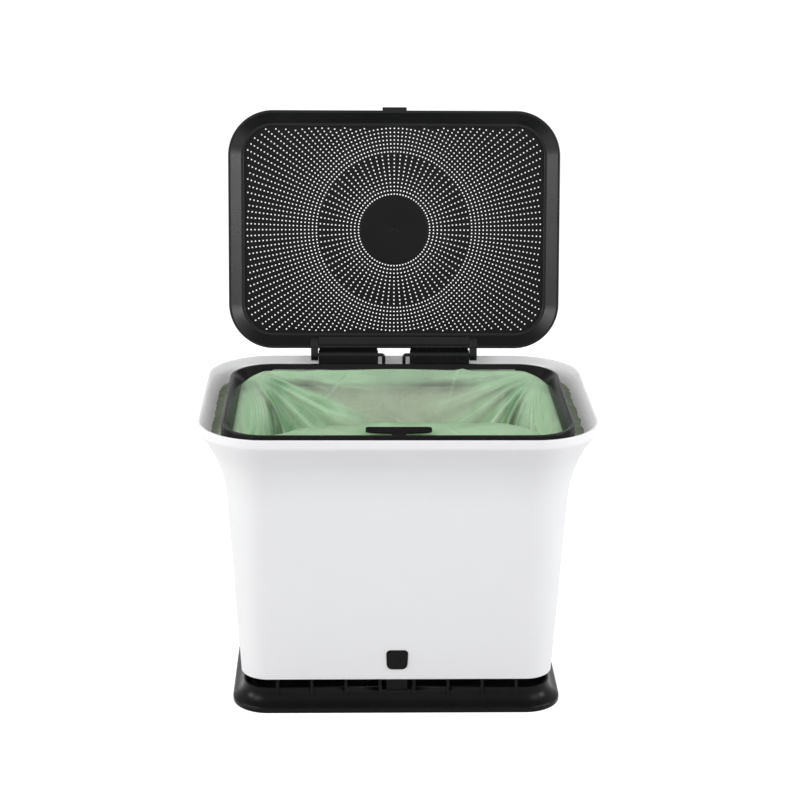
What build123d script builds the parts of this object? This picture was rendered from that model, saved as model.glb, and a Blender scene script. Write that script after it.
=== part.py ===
from build123d import *
import math
import os

# Kitchen compost bin: a flared plastic sleeve on a vented base, a bag held
# under a flip-up liner ring, and a perforated lid shown open.
# Millimetres. X to the right, Y to the back, Z up, origin on the floor
# under the middle of the bin.

# Every rounded rectangle in the bin is drawn round one core rectangle,
# so that all corners share their centres. A section is (offset, height).
CORE_A = 94.25
CORE_B = 57.5
CORNER_FLATS = 6

# Clearances
MOVE_GAP = 0.3
SOFT_GAP = 0.3
FIT_GAP = 0.35
PIN_GAP = 0.08

# Base
FOOT_R = 27.0
FOOT_H = 4.0
SKIRT_TOP_R = 18.9
SKIRT_TOP_Z = 16.8
SKIRT_WALL = 2.0
SKIRT_STEPS = (0.2, 0.5)
SEAT_Z = 24.0
RIB_OUT_R = 20.7
RIB_FOOT_Z = 9.6
RIB_T = 2.2
RIB_PITCH = 25.0
RIB_COUNT_LONG = 8
RIB_COUNT_SHORT = 4
PLUG_WALL = 1.8
PLUG_H = 21.0
FLOOR_Z = 26.0
FLOOR_T = 2.0
PAN_Z = 6.0
PAN_T = 2.0
FLOOR_SLOT_L = 24.0
FLOOR_SLOT_W = 5.0
SLOT_COUNT_X = 6
SLOT_COUNT_Y = 5

# Shell
SHELL_R = 20.4
SHELL_WALL = 2.0
SHELL_DRAFT = 0.0595
FLARE_Z = 160.0
FLARE_RADIUS = 90.0
FLARE_END_Z = 210.0
LIP_RADIUS = 4.5
RIM_Z = 217.8
FLARE_STEPS = 4
FIN_T = 1.6
FIN_DEPTH = 2.6
FIN_Z0 = 52.0

# Latch
LATCH_W = 15.2
LATCH_SLOT = 3.1
LATCH_T = 2.0
LATCH_ROOT_Z = 15.8
BUTTON_W_TOP = 15.5
BUTTON_W_BOTTOM = 14.0
BUTTON_Z0 = 32.6
BUTTON_Z1 = 47.5
BUTTON_R_TOP = 2.5
BUTTON_R_BOTTOM = 3.6
BUTTON_PROUD = 0.7
WINDOW_GAP = 0.45

# Inner frame
FRAME_FOOT_R = 13.0
FRAME_FOOT_W = 2.5
FRAME_FOOT_H = 3.0
FLANGE_PAST = 0.4
THROAT_LEDGE = 1.4
FLANGE_T = 2.0
POST_W = 12.0
POST_X = 93.0
POST_T = 2.4
FRAME_LIP = 5.4
REAR_WALL_X = 82.0
REAR_WALL_IN = 6.0
REAR_WALL_T = 2.0
REAR_WALL_H = 6.4

# Liner ring
RING_ROOM = 14.31
RING_Z = 215.8
RING_WALL = 1.7
RING_EDGE = 1.8
RING_DEPTH = 9.0
FUNNEL_W = 8.0
FUNNEL_EDGE = 1.4
RING_REAR_X = 84.0
RING_REAR_DEPTH = 3.4
TAB_W = 47.0
TAB_REAR_Y = 68.5
TAB_END_Y = 78.0
TAB_MID_Y = 80.6
TAB_STEM_W = 10.2
TAB_T = 1.5
TAB_R = 2.4

# Hinge
HINGE_BACK = 8.0
AXIS_RISE = 4.8
PIN_R = 1.4
PIN_LEG_X = 8.0
BARREL_R = 3.75
BARREL_X0 = 12.5
BARREL_X1 = 59.2
EAR_W = 5.6
EAR_GAP = 0.4
EAR_R = 4.6
EAR_WEB = 0.6
SOCKET_R = 2.6
SOCKET_DOWN = 12.3
SOCKET_H = 2.9

# Lid, drawn shut and then swung open
LID_Y = -0.5
LID_OVER = 3.0
LID_EDGE_H = 2.2
LID_WALL = 1.8
LID_BEVEL = 8.0
LID_H = 9.5
LID_STEP = 1.8
LID_LEDGE_W = 2.3
LID_LEDGE_T = 1.2
LID_OPEN = 101.35
TONGUE_W = 18.8
TONGUE_OUT = 2.5
RAIL_DEPTH = 9.0
FLAP_T = 1.5
FLAP_GAP = 0.35
FLAP_PAST = 0.8

# Screen
SCREEN_T = 1.6
SCREEN_GAP = 0.2
HOLE_R0 = 37.0
HOLE_STEP = 18.0
HOLE_RINGS = 5
HOLE_SPOKES = 19
HOLE_ACROSS = 4.0
HOLE_MARGIN = 3.2
DISC_R = 26.5
DISC_T = 0.5

# Bag
FILM_T = 0.8
BAG_Z0 = 36.0
BAG_R0 = 8.8
HANG = 10.0
HANG_GAP = 0.6


def shell_r(z):
    """Outer offset of the sleeve's straight wall at a height."""
    return SHELL_R + SHELL_DRAFT * (z - SEAT_Z)


def shell_in_r(z):
    """Inner offset of the sleeve's straight wall at a height."""
    return shell_r(z) - SHELL_WALL


def face_rz(points):
    """Closed section from (offset, height) points."""
    return Plane.XZ * make_face(Polyline(*points, close=True))


def band(sec):
    """Carry a section round the core rectangle."""
    out = []
    side = Rot(0, 0, 90) * sec
    out.append(extrude(Pos(CORE_A, CORE_B, 0) * sec, 2 * CORE_B))
    out.append(extrude(Pos(-CORE_A, CORE_B, 0) * side, 2 * CORE_A))
    out.append(revolve(Pos(CORE_A, CORE_B, 0) * sec, Axis((CORE_A, CORE_B, 0), (0, 0, 1)), 90))
    out.append(revolve(Pos(-CORE_A, CORE_B, 0) * side, Axis((-CORE_A, CORE_B, 0), (0, 0, 1)), 90))
    half = out[0] + out[2] + out[1] + out[3]
    return half + Rot(0, 0, 180) * half


def flat_points(r, z):
    """Rounded rectangle at an offset whose corners are a few narrow flats, for what stays out of sight."""
    pts = []
    for k, (sx, sy) in enumerate(((1, 1), (-1, 1), (-1, -1), (1, -1))):
        for i in range(CORNER_FLATS + 1):
            a = math.pi / 2 * (k + i / CORNER_FLATS)
            pts.append((sx * CORE_A + r * math.cos(a), sy * CORE_B + r * math.sin(a), z))
    return pts


def flat_form(levels):
    """Solid through (offset, height) sections with flats at the corners."""
    rows = [flat_points(r, z) for r, z in levels]
    n = len(rows[0])
    faces = [make_face(Polyline(*rows[0], close=True)), make_face(Polyline(*rows[-1], close=True))]
    for low, high in zip(rows, rows[1:]):
        for i in range(n):
            j = (i + 1) % n
            faces.append(make_face(Polyline(low[i], low[j], high[j], high[i], close=True)))
    return Solid(Shell(faces))


def flat_plate(r, z0, z1):
    """Plate at an offset with flats at the corners."""
    return extrude(make_face(Polyline(*flat_points(r, z0), close=True)), z1 - z0)


def flat_band(r_in, r_out, z0, z1):
    """Upright band between two offsets with flats at the corners."""
    return flat_plate(r_out, z0, z1) - flat_plate(r_in, z0 - 1.0, z1 + 1.0)


def plate(r, z0, z1):
    """Solid rounded rectangle at an offset from the core."""
    sk = RectangleRounded(2 * (CORE_A + r), 2 * (CORE_B + r), r)
    return extrude(Pos(0, 0, z0) * sk, z1 - z0)


def block(x0, x1, y0, y1, z0, z1):
    return Pos((x0 + x1) / 2, (y0 + y1) / 2, (z0 + z1) / 2) * Box(x1 - x0, y1 - y0, z1 - z0)


def prism_x(points, x0, x1):
    """Extrude a (Y, Z) outline along X."""
    f = Plane.YZ * make_face(Polyline(*points, close=True))
    return extrude(Pos(x0, 0, 0) * f, x1 - x0)


def rod_x(r, x0, x1, y, z):
    return Pos((x0 + x1) / 2, y, z) * Rot(0, 90, 0) * Cylinder(r, x1 - x0)


def both(solid):
    """A solid and its mirror image across the middle plane."""
    return solid + mirror(solid, Plane.YZ)


def spaced(n, pitch):
    return [(i - (n - 1) / 2) * pitch for i in range(n)]


def rim_offset():
    """Outer offset of the sleeve's upright lip, at the end of its flare."""
    a0 = math.atan(SHELL_DRAFT)
    a1 = math.asin(math.sin(a0) + (FLARE_END_Z - FLARE_Z) / FLARE_RADIUS)
    centre = shell_r(FLARE_Z) + FLARE_RADIUS * math.cos(a0)
    return centre - (FLARE_RADIUS + LIP_RADIUS) * math.cos(a1) + LIP_RADIUS


# Shared places
FLARE_R = shell_r(FLARE_Z)
DRAFT_ANGLE = math.atan(SHELL_DRAFT)
RIM_R = rim_offset()
RING_R = RIM_R - SHELL_WALL - RING_ROOM
RING_IN_R = RING_R - FUNNEL_W
FLANGE_IN_R = RING_IN_R - THROAT_LEDGE
FLANGE_OUT_R = RING_R + FLANGE_PAST
FLANGE_Z = RING_Z - RING_DEPTH - SOFT_GAP - FILM_T - SOFT_GAP
REAR_WALL_R = RING_R - REAR_WALL_IN
FRAME_FLOOR = FLOOR_Z + FLOOR_T
LATCH_ROOT_R = SKIRT_TOP_R - LATCH_T / 2 + 0.2
LATCH_OUT_R = shell_in_r(SEAT_Z) - FIT_GAP
PLUG_IN_R = LATCH_OUT_R - PLUG_WALL
AXIS_Y = CORE_B + RING_R + HINGE_BACK
AXIS_Z = RING_Z + AXIS_RISE
SOCKET_Z0 = AXIS_Z - SOCKET_DOWN
SOCKET_Z1 = SOCKET_Z0 + SOCKET_H
LID_R = RING_R + LID_OVER
LID_TOP_R = LID_R - LID_BEVEL
LID_STEP_R = LID_TOP_R - LID_STEP
LID_LEDGE_R = LID_STEP_R - LID_LEDGE_W
LID_Z = RING_Z + MOVE_GAP
LID_REAR = LID_Y + CORE_B + LID_R
RAIL_FRONT = LID_REAR - RAIL_DEPTH
EAR_X0 = BARREL_X1 + EAR_GAP
EAR_X1 = EAR_X0 + EAR_W
LEDGE_Z = LID_Z + LID_H - LID_LEDGE_T - SCREEN_T - 0.8
SCREEN_Z = LEDGE_Z + LID_LEDGE_T
SKIRT_ARC_R = ((FOOT_R - SKIRT_TOP_R) ** 2 + (SKIRT_TOP_Z - FOOT_H) ** 2) / (2 * (FOOT_R - SKIRT_TOP_R))
SKIRT_C_R = SKIRT_TOP_R + SKIRT_ARC_R


def skirt_r(z, inset=0.0):
    """Offset of the concave skirt at a height, or of a face inset in it."""
    rad = SKIRT_ARC_R + inset
    return SKIRT_C_R - math.sqrt(max(rad ** 2 - (SKIRT_TOP_Z - z) ** 2, 0.0))


def make_base():
    # Skirt: a concave flare on an upright foot edge, hollow below
    z_mid = (FOOT_H + SKIRT_TOP_Z) / 2
    core = SKIRT_TOP_R - SKIRT_WALL - 6.0
    steps = [FOOT_H + (SKIRT_TOP_Z - FOOT_H) * k for k in SKIRT_STEPS]
    outside = [(core, 0), (FOOT_R, 0), (FOOT_R, FOOT_H)] + [(skirt_r(z), z) for z in steps] + [(SKIRT_TOP_R, SKIRT_TOP_Z), (core, SKIRT_TOP_Z)]
    z1, z2 = FOOT_H - 1.0, z_mid
    hollow = flat_form([(FOOT_R - SKIRT_WALL, -1.0), (FOOT_R - SKIRT_WALL, z1 - 1.0), (skirt_r(z2, SKIRT_WALL), z2),
                        (SKIRT_TOP_R - SKIRT_WALL, SKIRT_TOP_Z), (SKIRT_TOP_R - SKIRT_WALL, SKIRT_TOP_Z + 1.0)])
    skirt = band(face_rz(outside)) - hollow

    z0 = SEAT_Z - 1.5
    plug = flat_band(PLUG_IN_R, LATCH_OUT_R, z0, SEAT_Z + PLUG_H)

    # Ribs carry the plug over the air gap, and the sleeve stands on them
    rib = [(PLUG_IN_R, SKIRT_TOP_Z - 3.0), (RIB_OUT_R, RIB_FOOT_Z), (RIB_OUT_R, SEAT_Z), (PLUG_IN_R, SEAT_Z)]
    ribs = []
    for x in spaced(RIB_COUNT_LONG, RIB_PITCH):
        for s in (1, -1):
            pts = [(s * (CORE_B + r), z) for r, z in rib]
            ribs.append(prism_x(pts, x - RIB_T / 2, x + RIB_T / 2))
    for y in spaced(RIB_COUNT_SHORT, RIB_PITCH):
        f = extrude(Pos(CORE_A, y + RIB_T / 2, 0) * face_rz(rib), RIB_T)
        ribs += [f, Rot(0, 0, 180) * f]

    # Closed pan below, open grille above
    pan = flat_plate(skirt_r(PAN_Z + PAN_T, SKIRT_WALL / 2), PAN_Z, PAN_Z + PAN_T)
    floor = flat_plate(PLUG_IN_R + 0.4, FLOOR_Z, FLOOR_Z + FLOOR_T)
    sx = 2 * (CORE_A + 2.0) / SLOT_COUNT_X
    sy = 2 * (CORE_B + 2.0) / SLOT_COUNT_Y
    slots = [Pos(x, y, FLOOR_Z) * Box(FLOOR_SLOT_L, FLOOR_SLOT_W, 4 * FLOOR_T)
             for x in spaced(SLOT_COUNT_X, sx) for y in spaced(SLOT_COUNT_Y, sy)]
    floor = floor - slots

    body = skirt + plug + ribs + floor + pan
    # Room for the snap arm, its two slots and its travel
    half = LATCH_W / 2 + LATCH_SLOT
    front = -(CORE_B + RIB_OUT_R + 2.0)
    body = body - block(-half, half, front, -(CORE_B + PLUG_IN_R - 1.0), LATCH_ROOT_Z - LATCH_T / 2 - MOVE_GAP, SEAT_Z)
    hw = LATCH_W / 2 + 1.4
    body = body - block(-hw, hw, front, -(CORE_B + FRAME_FOOT_R + 0.5), SEAT_Z - 2.0, SEAT_Z + PLUG_H + 1.0)
    return body


def button_sketch(grow=0.0):
    """Front outline of the button, a rounded trapezoid."""
    w1 = BUTTON_W_TOP / 2 + grow
    w0 = BUTTON_W_BOTTOM / 2 + grow
    sk = make_face(Polyline((-w0, BUTTON_Z0 - grow), (w0, BUTTON_Z0 - grow), (w1, BUTTON_Z1 + grow), (-w1, BUTTON_Z1 + grow), close=True))
    vs = sk.vertices().sort_by(Axis.Y)
    sk = fillet(vs[:2], BUTTON_R_BOTTOM + grow)
    vs = sk.vertices().sort_by(Axis.Y)
    return fillet(vs[-2:], BUTTON_R_TOP + grow)


def make_latch():
    r0 = LATCH_ROOT_R
    out = LATCH_OUT_R
    z_bend = SEAT_Z - 2.5
    top = BUTTON_Z1 + 1.0
    h = LATCH_T / 2
    arm_pts = [(r0 - h, LATCH_ROOT_Z), (r0 + h, LATCH_ROOT_Z), (out, z_bend), (out, top), (out - LATCH_T, top), (out - LATCH_T, z_bend)]
    arm = prism_x([(-(CORE_B + r), z) for r, z in arm_pts], -LATCH_W / 2, LATCH_W / 2)
    arm = arm + rod_x(h, -LATCH_W / 2, LATCH_W / 2, -(CORE_B + r0), LATCH_ROOT_Z)
    # The button's face follows the wall's slope, a little proud of it
    sk = Pos(0, -(CORE_B + out - 0.5), 0) * (Plane.XZ * button_sketch())
    btn = extrude(sk, 10.0)
    face = [(-(CORE_B + out - 1.0), BUTTON_Z0 - 4), (-(CORE_B + shell_r(BUTTON_Z0 - 4) + BUTTON_PROUD), BUTTON_Z0 - 4),
            (-(CORE_B + shell_r(BUTTON_Z1 + 4) + BUTTON_PROUD), BUTTON_Z1 + 4), (-(CORE_B + out - 1.0), BUTTON_Z1 + 4)]
    btn = btn & prism_x(face, -BUTTON_W_TOP, BUTTON_W_TOP)
    return arm + btn


def flare_point(a, inset=0.0):
    """Point (offset, height) on the sleeve's flare at an angle from its start."""
    rad = FLARE_RADIUS + inset
    centre = FLARE_R + FLARE_RADIUS * math.cos(DRAFT_ANGLE)
    return (centre - rad * math.cos(a), FLARE_Z - FLARE_RADIUS * math.sin(DRAFT_ANGLE) + rad * math.sin(a))


def make_shell():
    a0 = DRAFT_ANGLE
    a1 = math.asin(math.sin(a0) + (FLARE_END_Z - FLARE_Z) / FLARE_RADIUS)
    start, end = flare_point(a0), flare_point(a1)
    lip_z = end[1] + LIP_RADIUS * math.sin(a1)
    lip_c = (RIM_R - LIP_RADIUS, lip_z)
    mid = (lip_c[0] + LIP_RADIUS * math.cos(a1 / 2), lip_c[1] - LIP_RADIUS * math.sin(a1 / 2))
    core = SHELL_R - SHELL_WALL - 6.0
    turns = [a0 + (a1 - a0) * k / FLARE_STEPS for k in range(1, FLARE_STEPS)]
    outside = [(core, SEAT_Z), (SHELL_R, SEAT_Z), start] + [flare_point(a) for a in turns] + [end, mid, (RIM_R, lip_z), (RIM_R, RIM_Z), (core, RIM_Z)]
    # The inside follows the outside one wall in, up to the upright lip
    inside = [(shell_in_r(SEAT_Z - 1.0), SEAT_Z - 1.0), flare_point(a0, SHELL_WALL)]
    inside += [flare_point(a, SHELL_WALL) for a in turns]
    inside += [flare_point(a1, SHELL_WALL), (RIM_R - SHELL_WALL, lip_z), (RIM_R - SHELL_WALL, RIM_Z + 1.0)]
    body = band(face_rz(outside)) - flat_form(inside)

    # Slim fins keep an air gap between the wall and the bag
    r0, r1 = shell_in_r(FIN_Z0), shell_in_r(FLARE_Z)
    a_top = turns[0]
    r2, z2 = flare_point(a_top, SHELL_WALL - 0.5)
    pts = [(r0 + 0.8, FIN_Z0), (r0 - FIN_DEPTH, FIN_Z0 + FIN_DEPTH), (r1 - FIN_DEPTH, FLARE_Z), (r2, z2), (r1 + 0.8, FLARE_Z)]
    fins = []
    for x in spaced(RIB_COUNT_LONG - 1, RIB_PITCH):
        for s in (1, -1):
            fins.append(prism_x([(s * (CORE_B + r), z) for r, z in pts], x - FIN_T / 2, x + FIN_T / 2))
    for y in spaced(RIB_COUNT_SHORT, RIB_PITCH):
        f = extrude(Pos(CORE_A, y + FIN_T / 2, 0) * face_rz(pts), FIN_T)
        fins += [f, Rot(0, 0, 180) * f]
    body = body + fins
    window = extrude(Pos(0, -(CORE_B + SHELL_R - 8.0), 0) * (Plane.XZ * button_sketch(WINDOW_GAP)), 16.0)
    return body - window


def make_frame():
    zf = FLANGE_Z
    foot = flat_band(FRAME_FOOT_R - FRAME_FOOT_W, FRAME_FOOT_R, FRAME_FLOOR, FRAME_FLOOR + FRAME_FOOT_H)
    flange = flat_band(FLANGE_IN_R, FLANGE_OUT_R, zf - FLANGE_T, zf) + flat_band(FLANGE_IN_R, FLANGE_IN_R + RING_WALL, zf - FRAME_LIP, zf - FLANGE_T)
    pts = [(FRAME_FOOT_R - POST_T, FRAME_FLOOR), (FRAME_FOOT_R, FRAME_FLOOR), (FLANGE_IN_R + POST_T, zf - FLANGE_T), (FLANGE_IN_R, zf - FLANGE_T)]
    posts = []
    for s in (1, -1):
        for x in (POST_X, -POST_X):
            posts.append(prism_x([(s * (CORE_B + r), z) for r, z in pts], x - POST_W / 2, x + POST_W / 2))
    y0 = CORE_B + REAR_WALL_R
    wall = block(-REAR_WALL_X, REAR_WALL_X, y0, y0 + REAR_WALL_T, zf - FLANGE_T / 2, zf + REAR_WALL_H)
    # Two lugs behind the ring carry the bent hinge pins
    lug = block(PIN_LEG_X - SOCKET_R, PIN_LEG_X + SOCKET_R, y0 + REAR_WALL_T / 2, AXIS_Y, SOCKET_Z0, SOCKET_Z1)
    lug = lug + Pos(PIN_LEG_X, AXIS_Y, (SOCKET_Z0 + SOCKET_Z1) / 2) * Cylinder(SOCKET_R, SOCKET_Z1 - SOCKET_Z0)
    lug = lug - Pos(PIN_LEG_X, AXIS_Y, (SOCKET_Z0 + SOCKET_Z1) / 2) * Cylinder(PIN_R + PIN_GAP / 2, 3 * (SOCKET_Z1 - SOCKET_Z0))
    return foot + flange + posts + wall + both(lug)


def make_pin():
    leg_z0 = SOCKET_Z0 + 0.2
    run = rod_x(PIN_R, PIN_LEG_X - PIN_R, EAR_X1 - EAR_WEB - 0.2, AXIS_Y, AXIS_Z)
    leg = Pos(PIN_LEG_X, AXIS_Y, (leg_z0 + AXIS_Z) / 2) * Cylinder(PIN_R, AXIS_Z - leg_z0)
    return run + leg


def make_ring():
    z0 = RING_Z - RING_DEPTH
    rw = RING_R - RING_WALL
    edge = RING_R - RING_EDGE
    lip_z = z0 + FUNNEL_EDGE
    body = band(face_rz([(rw, z0), (RING_R, z0), (RING_R, RING_Z), (edge, RING_Z), (RING_IN_R, lip_z), (RING_IN_R, z0),
                         (RING_IN_R + RING_WALL, z0), (rw, RING_Z - RING_WALL - 1.4)]))
    # The rear run is shallow, to swing clear of the frame
    body = body - block(-RING_REAR_X, RING_REAR_X, CORE_B + RING_IN_R - 6.0, CORE_B + RING_R + 5.0, z0 - 1.0, RING_Z - RING_REAR_DEPTH)

    # Lifting tab, a T that points into the mouth
    h = TAB_W / 2
    bar = make_face([Line((-h, -TAB_END_Y), (-h, -TAB_REAR_Y)), Line((-h, -TAB_REAR_Y), (h, -TAB_REAR_Y)), Line((h, -TAB_REAR_Y), (h, -TAB_END_Y)),
                     ThreePointArc((h, -TAB_END_Y), (0, -TAB_MID_Y), (-h, -TAB_END_Y))])
    bar = fillet(bar.vertices(), TAB_R)
    bar = extrude(Pos(0, 0, RING_Z - TAB_T) * bar, TAB_T)
    stem = block(-TAB_STEM_W / 2, TAB_STEM_W / 2, -(CORE_B + RING_R - RING_WALL / 2), -(TAB_MID_Y - 2.0), RING_Z - TAB_T, RING_Z)

    # Two hinge knuckles on the rear edge, flat behind to stop the lid
    c, s = math.cos(math.radians(LID_OPEN)), math.sin(math.radians(LID_OPEN))

    def rear(along):
        return (AXIS_Y + BARREL_R * s - along * c, AXIS_Z + BARREL_R * c + along * s)

    edge = CORE_B + RING_R
    low = RING_Z - 2.4
    web = [(edge - 1.5, low), (edge - 1.5, RING_Z), (AXIS_Y - BARREL_R, RING_Z), (AXIS_Y - BARREL_R, AXIS_Z), rear(0), rear(-FLAP_PAST), (AXIS_Y + 0.5, low)]
    knuckle = prism_x(web, BARREL_X0, BARREL_X1) + rod_x(BARREL_R, BARREL_X0, BARREL_X1, AXIS_Y, AXIS_Z)
    body = body + bar + stem + both(knuckle)
    return body - both(rod_x(PIN_R + PIN_GAP, BARREL_X0 - 1, BARREL_X1 + 1, AXIS_Y, AXIS_Z))


def swing(solid):
    """Open the lid about its hinge."""
    return solid.rotate(Axis((0, AXIS_Y, AXIS_Z), (-1, 0, 0)), LID_OPEN)


def make_lid_frame():
    z0 = LID_Z
    z1 = LID_Z + LID_H
    sec = face_rz([(LID_R - LID_WALL, z0), (LID_R, z0), (LID_R, z0 + LID_EDGE_H), (LID_TOP_R, z1), (LID_STEP_R - 0.2, z1),
                   (LID_STEP_R - 0.2, SCREEN_Z), (LID_LEDGE_R, SCREEN_Z), (LID_LEDGE_R, LEDGE_Z), (LID_STEP_R, LEDGE_Z)])
    body = Pos(0, LID_Y, 0) * band(sec)
    tip = LID_Y - CORE_B - LID_R
    body = body + block(-TONGUE_W / 2, TONGUE_W / 2, tip - TONGUE_OUT, tip + 1.0, z0, z0 + LID_EDGE_H)

    # Rear rail, and the flaps that cover the knuckles when the lid is shut
    flap0 = AXIS_Z + BARREL_R + FLAP_GAP
    flap1 = flap0 + FLAP_T
    rail = [(RAIL_FRONT, z0 + 1.0), (LID_REAR, z0 + 1.0), (LID_REAR, flap0), (LID_REAR - 2.0, flap1), (RAIL_FRONT, z1)]
    body = body + prism_x(rail, -BARREL_X1, BARREL_X1)
    flap = [(LID_REAR - 3.0, flap0 - 1.0), (LID_REAR, flap0 - 1.0), (LID_REAR + 1.0, flap0), (AXIS_Y + FLAP_PAST, flap0), (AXIS_Y + FLAP_PAST, flap1), (LID_REAR - 3.0, flap1)]
    body = body + both(prism_x(flap, BARREL_X0 + 0.5, BARREL_X1 - 0.4))

    arm = [(RAIL_FRONT + 1.0, z0 + 2.4), (LID_REAR - 2.5, z0 + 0.2), (AXIS_Y, AXIS_Z - EAR_R), (AXIS_Y, AXIS_Z + EAR_R), (LID_REAR - 4.0, z1 - 0.4), (RAIL_FRONT + 1.0, z1 - 2.0)]
    ear = prism_x(arm, EAR_X0, EAR_X1) + rod_x(EAR_R, EAR_X0, EAR_X1, AXIS_Y, AXIS_Z)
    ear = ear - rod_x(PIN_R + PIN_GAP, EAR_X0 - 1, EAR_X1 - EAR_WEB, AXIS_Y, AXIS_Z)
    return swing(body + both(ear))


def hole_outline(x, y, across, turn):
    """A small four-sided hole, turned to its spoke."""
    pts = [(x + across / 2 * math.cos(turn + k * math.pi / 2), y + across / 2 * math.sin(turn + k * math.pi / 2)) for k in range(4)]
    return Polyline(*pts, close=True)


def make_screen():
    r = LID_STEP_R - 0.2 - SCREEN_GAP
    edge = RectangleRounded(2 * (CORE_A + r), 2 * (CORE_B + r), r)
    limit_r = LID_LEDGE_R - HOLE_MARGIN
    holes = []
    # Round rows of holes, clipped to the window's rounded rectangle
    for n in range(HOLE_RINGS):
        rad = HOLE_R0 + n * HOLE_STEP
        count = HOLE_SPOKES if n < 3 else HOLE_SPOKES + HOLE_SPOKES // 2
        for k in range(count):
            a = k * 2 * math.pi / count
            x, y = rad * math.cos(a), rad * math.sin(a)
            dx, dy = max(abs(x) - CORE_A, 0), max(abs(y) - CORE_B, 0)
            if math.hypot(dx, dy) <= limit_r:
                holes.append(hole_outline(x, y, HOLE_ACROSS, a))
    sheet = Face(edge.faces()[0].outer_wire(), [h.wires()[0] for h in holes])
    panel = extrude(Pos(0, LID_Y, SCREEN_Z) * sheet, SCREEN_T)
    # Solid centre disc, a little thicker than the panel
    panel = panel + Pos(0, LID_Y, SCREEN_Z + SCREEN_T + DISC_T / 2) * Cylinder(DISC_R, DISC_T)
    return swing(panel)


def make_bag():
    top = FLANGE_Z + SOFT_GAP + FILM_T
    bag_out = FLANGE_IN_R - 0.5
    hang = FLANGE_OUT_R + HANG_GAP
    # Mouth folded out over the flange, its edge hanging outside
    cuff = flat_band(bag_out - FILM_T, hang + FILM_T, top - FILM_T, top) + flat_band(hang, hang + FILM_T, top - HANG, top - FILM_T)
    # At the back the film climbs in front of the frame's rear wall
    y1 = CORE_B + REAR_WALL_R - SOFT_GAP
    x = REAR_WALL_X + SOFT_GAP
    cuff = cuff - block(-x, x, y1, CORE_B + hang + 2, top - HANG - 1, top + 1)
    cuff = cuff + block(-REAR_WALL_X, REAR_WALL_X, y1 - FILM_T, y1, top - FILM_T, FLANGE_Z + REAR_WALL_H)
    neck = top - FILM_T - 0.7
    body = flat_form([(BAG_R0, BAG_Z0), (bag_out, neck), (bag_out, top)])
    hollow = flat_form([(BAG_R0 - FILM_T, BAG_Z0 + FILM_T), (bag_out - FILM_T, neck), (bag_out - FILM_T, top + 1.0)])
    return cuff + (body - hollow)


def main():
    os.makedirs("parts", exist_ok=True)
    pin = make_pin()
    nodes = {
        "base": make_base(),
        "release_latch": make_latch(),
        "outer_shell": make_shell(),
        "inner_frame": make_frame(),
        "liner_bag": make_bag(),
        "liner_ring": make_ring(),
        "hinge_pin_right": pin,
        "hinge_pin_left": mirror(pin, Plane.YZ),
        "lid_frame": make_lid_frame(),
        "lid_screen": make_screen(),
    }
    for name, solid in nodes.items():
        export_step(solid, os.path.join("parts", name + ".step"))


main()
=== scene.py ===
import math

import bmesh
import bpy
from mathutils import Matrix, Vector, noise


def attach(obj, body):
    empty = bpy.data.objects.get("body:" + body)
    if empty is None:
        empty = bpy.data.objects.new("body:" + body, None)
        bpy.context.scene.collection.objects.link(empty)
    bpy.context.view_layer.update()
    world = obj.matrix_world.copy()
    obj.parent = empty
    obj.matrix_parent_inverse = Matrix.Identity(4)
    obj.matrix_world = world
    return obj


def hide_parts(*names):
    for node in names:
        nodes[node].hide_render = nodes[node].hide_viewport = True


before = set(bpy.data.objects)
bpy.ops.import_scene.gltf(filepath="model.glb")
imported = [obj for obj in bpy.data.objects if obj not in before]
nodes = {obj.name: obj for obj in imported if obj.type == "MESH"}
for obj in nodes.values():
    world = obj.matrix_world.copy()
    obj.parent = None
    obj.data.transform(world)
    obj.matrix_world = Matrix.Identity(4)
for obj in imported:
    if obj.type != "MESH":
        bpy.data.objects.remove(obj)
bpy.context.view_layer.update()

# Kitchen compost bin: a white flared sleeve on a black vented base, a green
# film bag under a black liner ring, and a perforated black lid standing open.
# Sizes below are in millimetres, and every mesh is written in metres.
MM = 0.001

# Half sides of the core rectangle. Its corners are the centres of the bin's
# rounded corners, and each R below is an offset outwards from it
CORE_A = 94.25
CORE_B = 57.5
RIB_PITCH = 25.0

# Base
FOOT_R = 27.0
FOOT_H = 4.0
SKIRT_TOP_R = 18.9
SKIRT_TOP_Z = 16.8
SKIRT_WALL = 2.0

# Sleeve: a straight drafted wall up to FLARE_Z, then the flare and a lip
SEAT_Z = 24.0
SHELL_R = 20.4
SHELL_WALL = 2.0
SHELL_DRAFT = 0.0595
FLARE_Z = 160.0
FLARE_END_Z = 210.0
FLARE_RADIUS = 90.0
LIP_RADIUS = 4.5
RIM_Z = 217.8

# Liner ring, with its top at RING_Z, shallow along its rear run
RING_R = 32.0
RING_IN_R = 24.0
RING_Z = 215.8
RING_LOW = RING_Z - 9.0
RING_REAR_LOW = RING_Z - 3.4
RING_LEDGE = RING_R - 2.3
KNUCKLE_FOOT_Z = RING_Z - 2.4

# Hinge
AXIS_Y = 97.5
AXIS_Z = 220.6
BARREL_R = 3.75
STOP_RISE = 0.8
KNUCKLE_END = 59.2
ROD_R = 1.38
ROD_BEND = 1.7

# Lid, drawn shut and then turned open about the hinge
LID_OPEN = 101.35
LID_R = 35.0
LID_Y = -0.5
LID_Z = RING_Z + 0.3
LID_TOP_Z = LID_Z + 9.5
LID_EDGE = 2.2
LID_REAR = LID_Y + CORE_B + LID_R
SCREEN_WALL = 1.6
SCREEN_Z = LID_TOP_Z - SCREEN_WALL - 0.8
LEDGE_Z = SCREEN_Z - 1.2
DISC_R = 26.5

# Node kinds and a setting that the trees below use often
MATHS = "ShaderNodeMath"
MAP = "ShaderNodeMapRange"
SMOOTH = {"interpolation_type": "SMOOTHSTEP"}


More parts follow.
